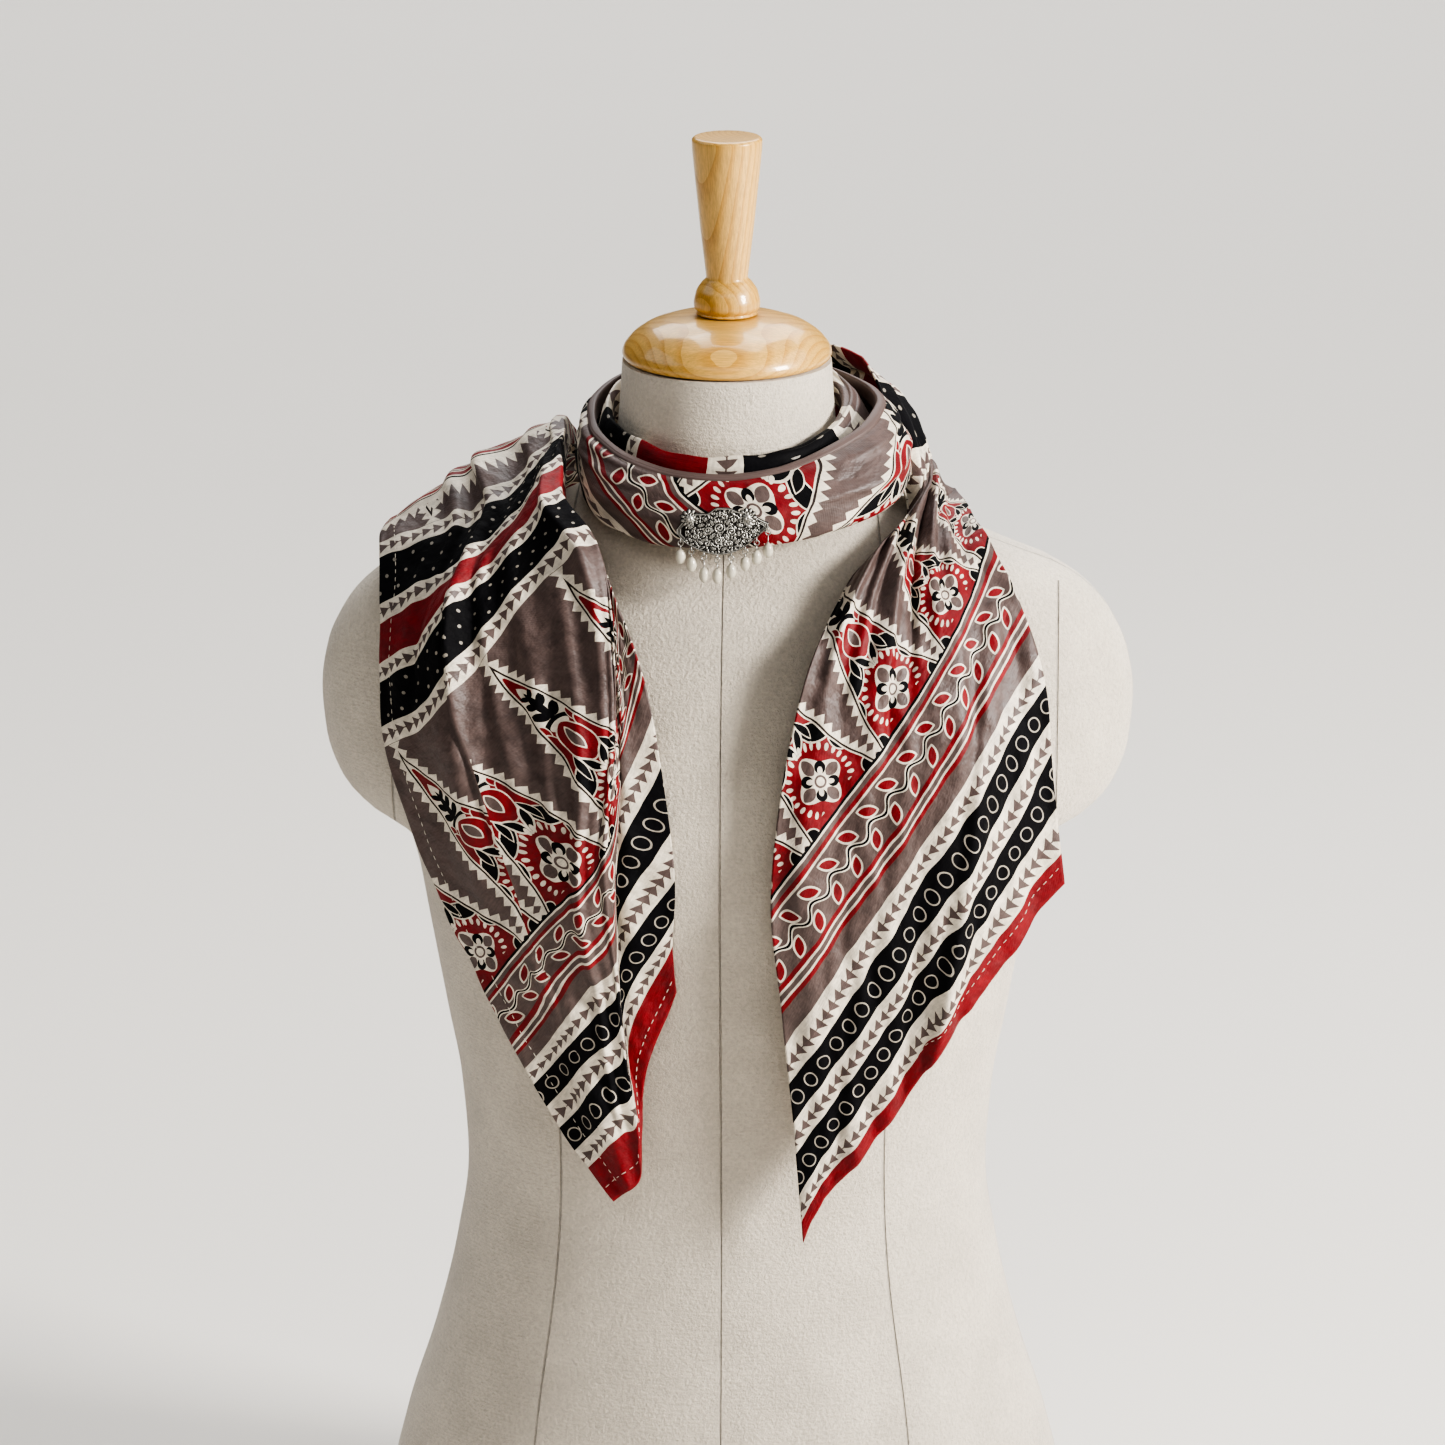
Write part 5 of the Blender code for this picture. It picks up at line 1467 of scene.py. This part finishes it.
class SCARF_OT_left_tail(bpy.types.Operator):
    """Drapes the left-hand tail and stitches its end and side hems"""

    bl_idname = "scarf.left_tail"
    bl_label = "Left tail"

    def execute(self, context):
        settings = context.scene.scarf_settings
        stations = np.linspace(0.0, TAIL_LEFT_END, LEFT_GRID[0])
        at = np.linspace(0.0, 1.0, LEFT_GRID[1])
        points = tail_surface(TAIL_LEFT_ROWS, TAIL_LEFT_END, 1.0, LEFT_PLACES, CREASES_LEFT,
                              stations, at, lambda along: np.full_like(along, FORM_LIFT))
        last = len(at) - 1
        folds = (0, *(round(place * last) for place in LEFT_FOLDS), last)
        corners = tail_print(points, slipped(stations, at, SLIP_LEFT, SLIP_LEFT_PLACES),
                             folds, np.interp(stations, *LEFT_PRINT_START))
        made = cloth_piece("scarf_left_tail", points, corners, settings)
        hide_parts("left_tail")
        path = end_hem(stations, len(at))
        end_thread = stitch_run("left_tail_end_stitches", points, path, settings.stitch / MM)
        path = [(row, np.interp(SIDE_HEM_LINE, reached(points[row]), np.arange(len(at))))
                for row in range(int(path[0][0]), int(SIDE_HEM_SHARE * len(stations)))]
        side_thread = stitch_run("left_tail_side_stitches", points, path, settings.stitch / MM)
        return {"FINISHED"}


# Spirals stamped in the plate: middle across and up, radius, turns, start, way round
SCROLLS = (
    (-0.8, 611.4, 3, 2.2, 0.4, 1), (-6.6, 610, 2.2, 1.8, 2, -1),
    (5.2, 609.6, 2.3, 1.8, 1.1, 1), (-1.6, 604.8, 2.2, 1.8, 3, 1),
    (-12.8, 606.4, 1.9, 1.5, 1.4, -1), (11.6, 607.4, 1.9, 1.5, 0.6, 1),
    (-17, 608.4, 1.5, 1.3, 2.4, 1), (16.4, 609.2, 1.5, 1.3, 0.2, -1),
    (4.4, 603.4, 1.7, 1.4, 2.2, -1), (-7.2, 603.6, 1.7, 1.4, 0.2, 1),
)
# Leaves between them: middle across and up, half length, turn in degrees
LEAVES = (
    (-4.4, 607, 2.6, 40), (2.9, 606.6, 2.6, 130), (-10.2, 612.4, 2.5, 20),
    (9.6, 612.6, 2.5, 160), (-10.4, 603.6, 2.3, 150), (8.4, 604.4, 2.4, 35),
    (-15.2, 611.2, 2.2, 35), (14.2, 612, 2.2, 150), (-15.6, 604.8, 2, 140),
    (14.4, 604.8, 2, 40), (-0.6, 618.4, 2.2, 90), (-4.6, 613.8, 2.2, 120),
    (3.6, 614.2, 2.2, 60), (-3.8, 600.8, 2.2, 160), (1.6, 600.6, 2.2, 20),
    (-19.8, 606.8, 1.8, 160), (19, 607.4, 1.8, 20), (-7.8, 615.4, 1.9, 70),
    (7, 615.6, 1.9, 110), (-10, 608, 1.9, 80), (8.9, 608.4, 1.9, 100),
)
BAR_LINES = (0.7, 1.5, 2.3)


def plate_relief(x, z, edge, end):
    """Height of the stamped relief from 0 to 1, given the distances to the plate's edges."""
    # Uneven ground that shows between the leaves and scrolls
    curl = x + 0.8 * np.sin(1.3 * z + 0.4) + 0.5 * np.sin(2.3 * z + 0.9 * x)
    swell = z + 0.8 * np.sin(1.2 * x + 0.7) + 0.4 * np.sin(2.1 * x - 1.1 * z)
    height = (0.44 + 0.26 * np.sin(3.4 * curl + 1.6 * swell)
              + 0.2 * np.sin(3.1 * swell - 1.9 * curl))
    for middle_x, middle_z, long, turn in LEAVES:
        turn = math.radians(turn)
        along = ((x - middle_x) * math.cos(turn) + (z - middle_z) * math.sin(turn)) / long
        aside = ((z - middle_z) * math.cos(turn) - (x - middle_x) * math.sin(turn)) / long
        body = 1.0 - along ** 2 - (aside / 0.42) ** 2
        veins = 0.16 * np.cos(11.0 * (along - 1.3 * np.abs(aside)))
        rib = 0.3 * np.exp(-(aside / 0.05) ** 2)
        leaf = np.sqrt(np.clip(body, 0.0, 1.0)) * 0.72 + veins - rib
        height = np.where(body > 0.0, np.maximum(leaf, 0.0), np.where(body > -0.35, 0.08, height))
    for middle_x, middle_z, radius, turns, start, way in SCROLLS:
        far = np.hypot(x - middle_x, z - middle_z)
        angle = way * np.arctan2(z - middle_z, x - middle_x) + start
        arm = far / radius * turns - angle / (2.0 * math.pi)
        off = np.abs(arm - np.round(arm)) * radius / turns
        bead = np.sqrt(np.clip(1.0 - (off / 0.52) ** 2, 0.0, 1.0))
        notched = 0.84 + 0.16 * np.cos(13.0 * angle)
        inside = np.clip((radius - far) / 0.3, 0.0, 1.0)
        height = (1.0 - inside) * height + inside * np.maximum(0.12, 0.95 * bead * notched)
    # A raised rim all round, and bars along the edges near both ends
    rim = np.exp(-((edge - 0.5) / 0.32) ** 2)
    bars = sum(np.exp(-((edge - line) / 0.26) ** 2) for line in BAR_LINES)
    on_bars = np.clip((4.6 - end) / 0.6, 0.0, 1.0)
    height = height * (1.0 - on_bars) + 0.9 * bars * on_bars
    height = height * np.clip((edge - 0.6) / 0.5, 0.0, 1.0) * (1.0 - on_bars) + height * on_bars
    return np.clip(np.maximum(height, 0.95 * rim), 0.0, 1.0)


class SCARF_OT_plate(bpy.types.Operator):
    """Stamps the brooch's plate, with its rosettes and rings"""

    bl_idname = "scarf.plate"
    bl_label = "Brooch plate"

    def execute(self, context):
        settings = context.scene.brooch_settings
        first, last = PLATE_STATIONS[0][0], PLATE_STATIONS[-1][0]
        x = np.linspace(first, last, PLATE_GRID[0])[:, None]
        share = np.linspace(0.0, 1.0, PLATE_GRID[1])
        low, high = read(PLATE_STATIONS, x)
        z = low * (1.0 - share) + high * share
        x = x + 0.0 * share
        end = np.minimum(x - first, last - x)
        edge = np.minimum(np.minimum(z - low, high - z), end + 0.2)
        relief = plate_relief(x, z, edge, end)
        middle = -plate_depth(x, z)
        front = middle - 0.5 * PLATE_WALL + RELIEF_SUNK - relief * settings.relief / MM
        shell = bmesh.new()
        layer = shell.verts.layers.float.new("high")
        grids = []
        for y, heights in ((front, relief), (middle + 0.5 * PLATE_WALL, 0.0 * relief + BACK_HIGH)):
            points = np.stack([x, y, z], axis=-1) * MM
            grids.append([[shell.verts.new(point) for point in row] for row in points])
            for vert, height in zip(sum(grids[-1], []), heights.ravel()):
                vert[layer] = height
        for grid in grids:
            for one, two in zip(grid[:-1], grid[1:]):
                for k in range(len(one) - 1):
                    shell.faces.new((one[k], two[k], two[k + 1], one[k + 1]))
        rims = [[row[0] for row in grid] + grid[-1][1:] + [row[-1] for row in grid[-2::-1]]
                + grid[0][-2:0:-1] for grid in grids]
        join_rings(shell, rims)
        for place, height, radius in ROSETTES:
            self.rosette(shell, layer, place, height, ROSETTE_SPREAD * radius)
        for x, _ in DROPS:
            mark_height(wire_ring(shell, ring_place(x), AXIS_Y), layer, RING_HIGH)
        mesh = close_shell(shell, bpy.data.meshes.new("brooch_silver"))
        silver = shared(oxidised_silver, settings)
        made = add_piece("brooch_silver", mesh, [silver], "form")
        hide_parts("brooch_plate")
        return {"FINISHED"}

    def rosette(self, shell, layer, place, height, radius):
        """A domed flower of two rounds of petals with a beaded eye."""
        rings = []
        turn = np.linspace(0.0, 2.0 * math.pi, ROSETTE_SEGMENTS, endpoint=False)
        middle = np.array([place, -plate_depth(place, height), height])
        for share in np.linspace(0.04, 1.0, ROSETTE_RINGS):
            petal = 0.5 + 0.5 * np.cos(ROSETTE_LEAVES * turn + (0.0 if share > 0.58 else math.pi))
            outer = fade(share, 0.3, 0.5)
            crown = 1.0 - share ** 2.2 - 0.22 * math.exp(-((share - 0.58) / 0.05) ** 2)
            rise = crown * (1.0 - outer * (0.75 * (1.0 - petal) ** 2))
            rise += 0.35 * math.exp(-((share - 0.16) / 0.12) ** 2)
            reach = radius * share * (1.0 - 0.14 * outer * (1.0 - petal))
            rings.append(round_verts(shell, middle, reach, AXIS_X, AXIS_Z))
            for vert, up in zip(rings[-1], rise):
                vert.co.y -= (0.3 + 0.95 * ROSETTE_RISE * up) * MM
                vert[layer] = 0.15 + 0.85 * min(1.0, up / (0.35 + crown * 0.9))
        capped(shell, rings)


class SCARF_OT_pearls(bpy.types.Operator):
    """Strings each pearl on its eye pin"""

    bl_idname = "scarf.pearls"
    bl_label = "Pearl drops"

    def execute(self, context):
        settings = context.scene.brooch_settings
        finishes = [shared(freshwater_pearl, settings), shared(oxidised_silver, settings)]
        for number, (x, pearl_z) in enumerate(DROPS, start=1):
            mesh = self.drop(number, ring_place(x), pearl_z)
            made = add_piece(f"pearl_{number}", mesh, finishes, f"drop_{number}")
            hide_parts(f"pearl_drop_{number}")
        return {"FINISHED"}

    def drop(self, number, ring, pearl_z):
        """A pearl under its collar, on a pin that ends in an eye linked through the ring."""
        eye = ring + (2.0 * WIRE_RADIUS + GAP - 2.0 * RING_RADIUS) * AXIS_Z
        pearl = np.array([ring[0], ring[1], pearl_z])
        top = pearl + PEARL_TALL / 2.0 * AXIS_Z
        shell = bmesh.new()
        layer = shell.verts.layers.float.new("high")
        # Each pearl is its own shape: a little fuller above or below its middle
        lean, tilt = PEARL_LEAN * math.sin(2.3 * number), 2.1 * number
        turn = np.linspace(0.0, 2.0 * math.pi, PEARL_SEGMENTS, endpoint=False)
        rings = []
        for angle in np.linspace(0.0, math.pi, PEARL_RINGS):
            radius = PEARL_WIDE / 2.0 * math.sin(angle) * (1.0 + lean * math.cos(angle))
            uneven = 1.0 - PEARL_UNEVEN * (1.0 + np.cos(2.0 * turn + tilt)) * math.sin(angle)
            at_pole = angle in (0.0, math.pi)
            rings.append(round_verts(shell, pearl + PEARL_TALL / 2.0 * math.cos(angle) * AXIS_Z,
                                     [0.0] if at_pole else radius * uneven, AXIS_X, AXIS_Y))
        join_rings(shell, rings)
        wires = wire_path(shell, [pearl, top + 0.3 * AXIS_Z,
                                  eye - (RING_RADIUS - 0.05) * AXIS_Z], PIN_RADIUS - 0.03)
        wires += wire_ring(shell, eye, AXIS_X)
        wires += wire_path(shell, [top - 0.15 * AXIS_Z, top + 0.35 * AXIS_Z], COLLAR_RADIUS)
        for face in wires:
            face.material_index = 1
        mark_height(wires, layer, PIN_HIGH)
        return close_shell(shell, bpy.data.meshes.new(f"pearl_{number}"))


# Where the camera looks and from: the point, distance in metres, degrees above level and round
AIM = (-0.0023, 0.0, 0.483)
CAMERA_FAR, CAMERA_UP, CAMERA_ROUND = 3.4, 16.5, 2.0
# Width of the picture's frame in millimetres, farthest that the camera sees in metres
FRAME_WIDE, SEEN_FAR = 36.0, 60.0
# Half the width of the floor, in metres
FLOOR_HALF = 20.0
# The room's faint fill: colour and strength
ROOM_COLOUR, ROOM_STRENGTH = (1.0, 0.98, 0.96), 0.05
# Lights: place, what each faces, size in metres, share of the key's power, colour
LIGHTS = (
    ("key", (2.7, -1.25, 1.6), (0.0, 0.0, 0.45), 0.8, 1.0, (1.0, 0.97, 0.93)),
    ("top", (0.1, 0.9, 2.5), (0.0, 0.0, 0.6), 1.2, 0.15, (1.0, 1.0, 1.0)),
    ("front_panel", (0.0, -5.5, 4.0), (0.0, -5.5, 0.0), 5.0, 0.6, (1.0, 1.0, 1.0)),
    ("back_panel", (0.0, 5.5, 4.0), (0.0, 5.5, 0.0), 5.0, 1.4, (1.0, 1.0, 1.0)),
    ("left_panel", (-5.5, 0.0, 4.0), (-5.5, 0.0, 0.0), 5.0, 0.6, (1.0, 1.0, 1.0)),
    ("right_panel", (5.5, 0.0, 4.0), (5.5, 0.0, 0.0), 5.0, 1.0, (1.0, 1.0, 1.0)),
)


class SCARF_OT_stage(bpy.types.Operator):
    """Lays the paper floor and sets the lights and the camera"""

    bl_idname = "scarf.stage"
    bl_label = "Stage"

    def execute(self, context):
        settings = context.scene.stage_settings
        mesh = bpy.data.meshes.new("paper_floor")
        half = FLOOR_HALF
        mesh.from_pydata([(-half, -half, 0.0), (half, -half, 0.0), (half, half, 0.0),
                          (-half, half, 0.0)], [], [(0, 1, 2, 3)])
        floor = bpy.data.objects.new("paper_floor", mesh)
        mesh.materials.append(studio_paper(settings))
        context.scene.collection.objects.link(floor)

        world = bpy.data.worlds.new("studio")
        world.use_nodes = True
        back = world.node_tree.nodes["Background"]
        back.inputs["Color"].default_value = opaque(ROOM_COLOUR)
        back.inputs["Strength"].default_value = ROOM_STRENGTH
        context.scene.world = world
        for name, place, aim, size, share, colour in LIGHTS:
            lamp = bpy.data.lights.new(name, "AREA")
            lamp.energy = settings.key * share
            lamp.size = size
            lamp.color = colour
            made = bpy.data.objects.new(name, lamp)
            made.location = place
            made.rotation_euler = (Vector(aim) - Vector(place)).to_track_quat("-Z", "Y").to_euler()
            context.scene.collection.objects.link(made)

        up, round_ = math.radians(CAMERA_UP), math.radians(CAMERA_ROUND)
        back_way = Vector((math.sin(round_) * math.cos(up), -math.cos(round_) * math.cos(up),
                           math.sin(up)))
        camera = bpy.data.cameras.new("camera")
        camera.lens = settings.lens
        camera.sensor_width = FRAME_WIDE
        camera.clip_end = SEEN_FAR
        made = bpy.data.objects.new("camera", camera)
        made.location = Vector(AIM) + CAMERA_FAR * back_way
        made.rotation_euler = back_way.to_track_quat("Z", "Y").to_euler()
        context.scene.collection.objects.link(made)
        context.scene.camera = made
        context.scene.view_settings.look = "AgX - High Contrast"
        return {"FINISHED"}


class SCARF_PT_panel(bpy.types.Panel):
    """Lists the scarf's settings and the steps that build it"""

    bl_idname = "SCARF_PT_panel"
    bl_label = "Printed scarf"
    bl_space_type = "VIEW_3D"
    bl_region_type = "UI"
    bl_category = "Scarf"

    def draw(self, context):
        scene = context.scene
        for group in (scene.scarf_settings, scene.form_settings, scene.brooch_settings,
                      scene.stage_settings):
            box = self.layout.box()
            for name in group.__annotations__:
                box.prop(group, name)
        for operator in OPERATORS:
            self.layout.operator(operator.bl_idname)


GROUPS = (("scarf_settings", ScarfSettings), ("form_settings", FormSettings),
          ("brooch_settings", BroochSettings), ("stage_settings", StageSettings))
OPERATORS = (SCARF_OT_stage, SCARF_OT_form, SCARF_OT_wood, SCARF_OT_throat, SCARF_OT_right_tail,
             SCARF_OT_left_tail, SCARF_OT_plate, SCARF_OT_pearls)


def register():
    for name, group in GROUPS:
        bpy.utils.register_class(group)
        setattr(bpy.types.Scene, name, PointerProperty(type=group))
    for made in (*OPERATORS, SCARF_PT_panel):
        bpy.utils.register_class(made)


def unregister():
    for made in reversed((*OPERATORS, SCARF_PT_panel)):
        bpy.utils.unregister_class(made)
    for name, group in reversed(GROUPS):
        delattr(bpy.types.Scene, name)
        bpy.utils.unregister_class(group)


def main():
    register()
    bpy.ops.scarf.stage()
    bpy.ops.scarf.form()
    bpy.ops.scarf.wood()
    bpy.ops.scarf.throat()
    bpy.ops.scarf.right_tail()
    bpy.ops.scarf.left_tail()
    bpy.ops.scarf.plate()
    bpy.ops.scarf.pearls()


if __name__ == "__main__":
    main()
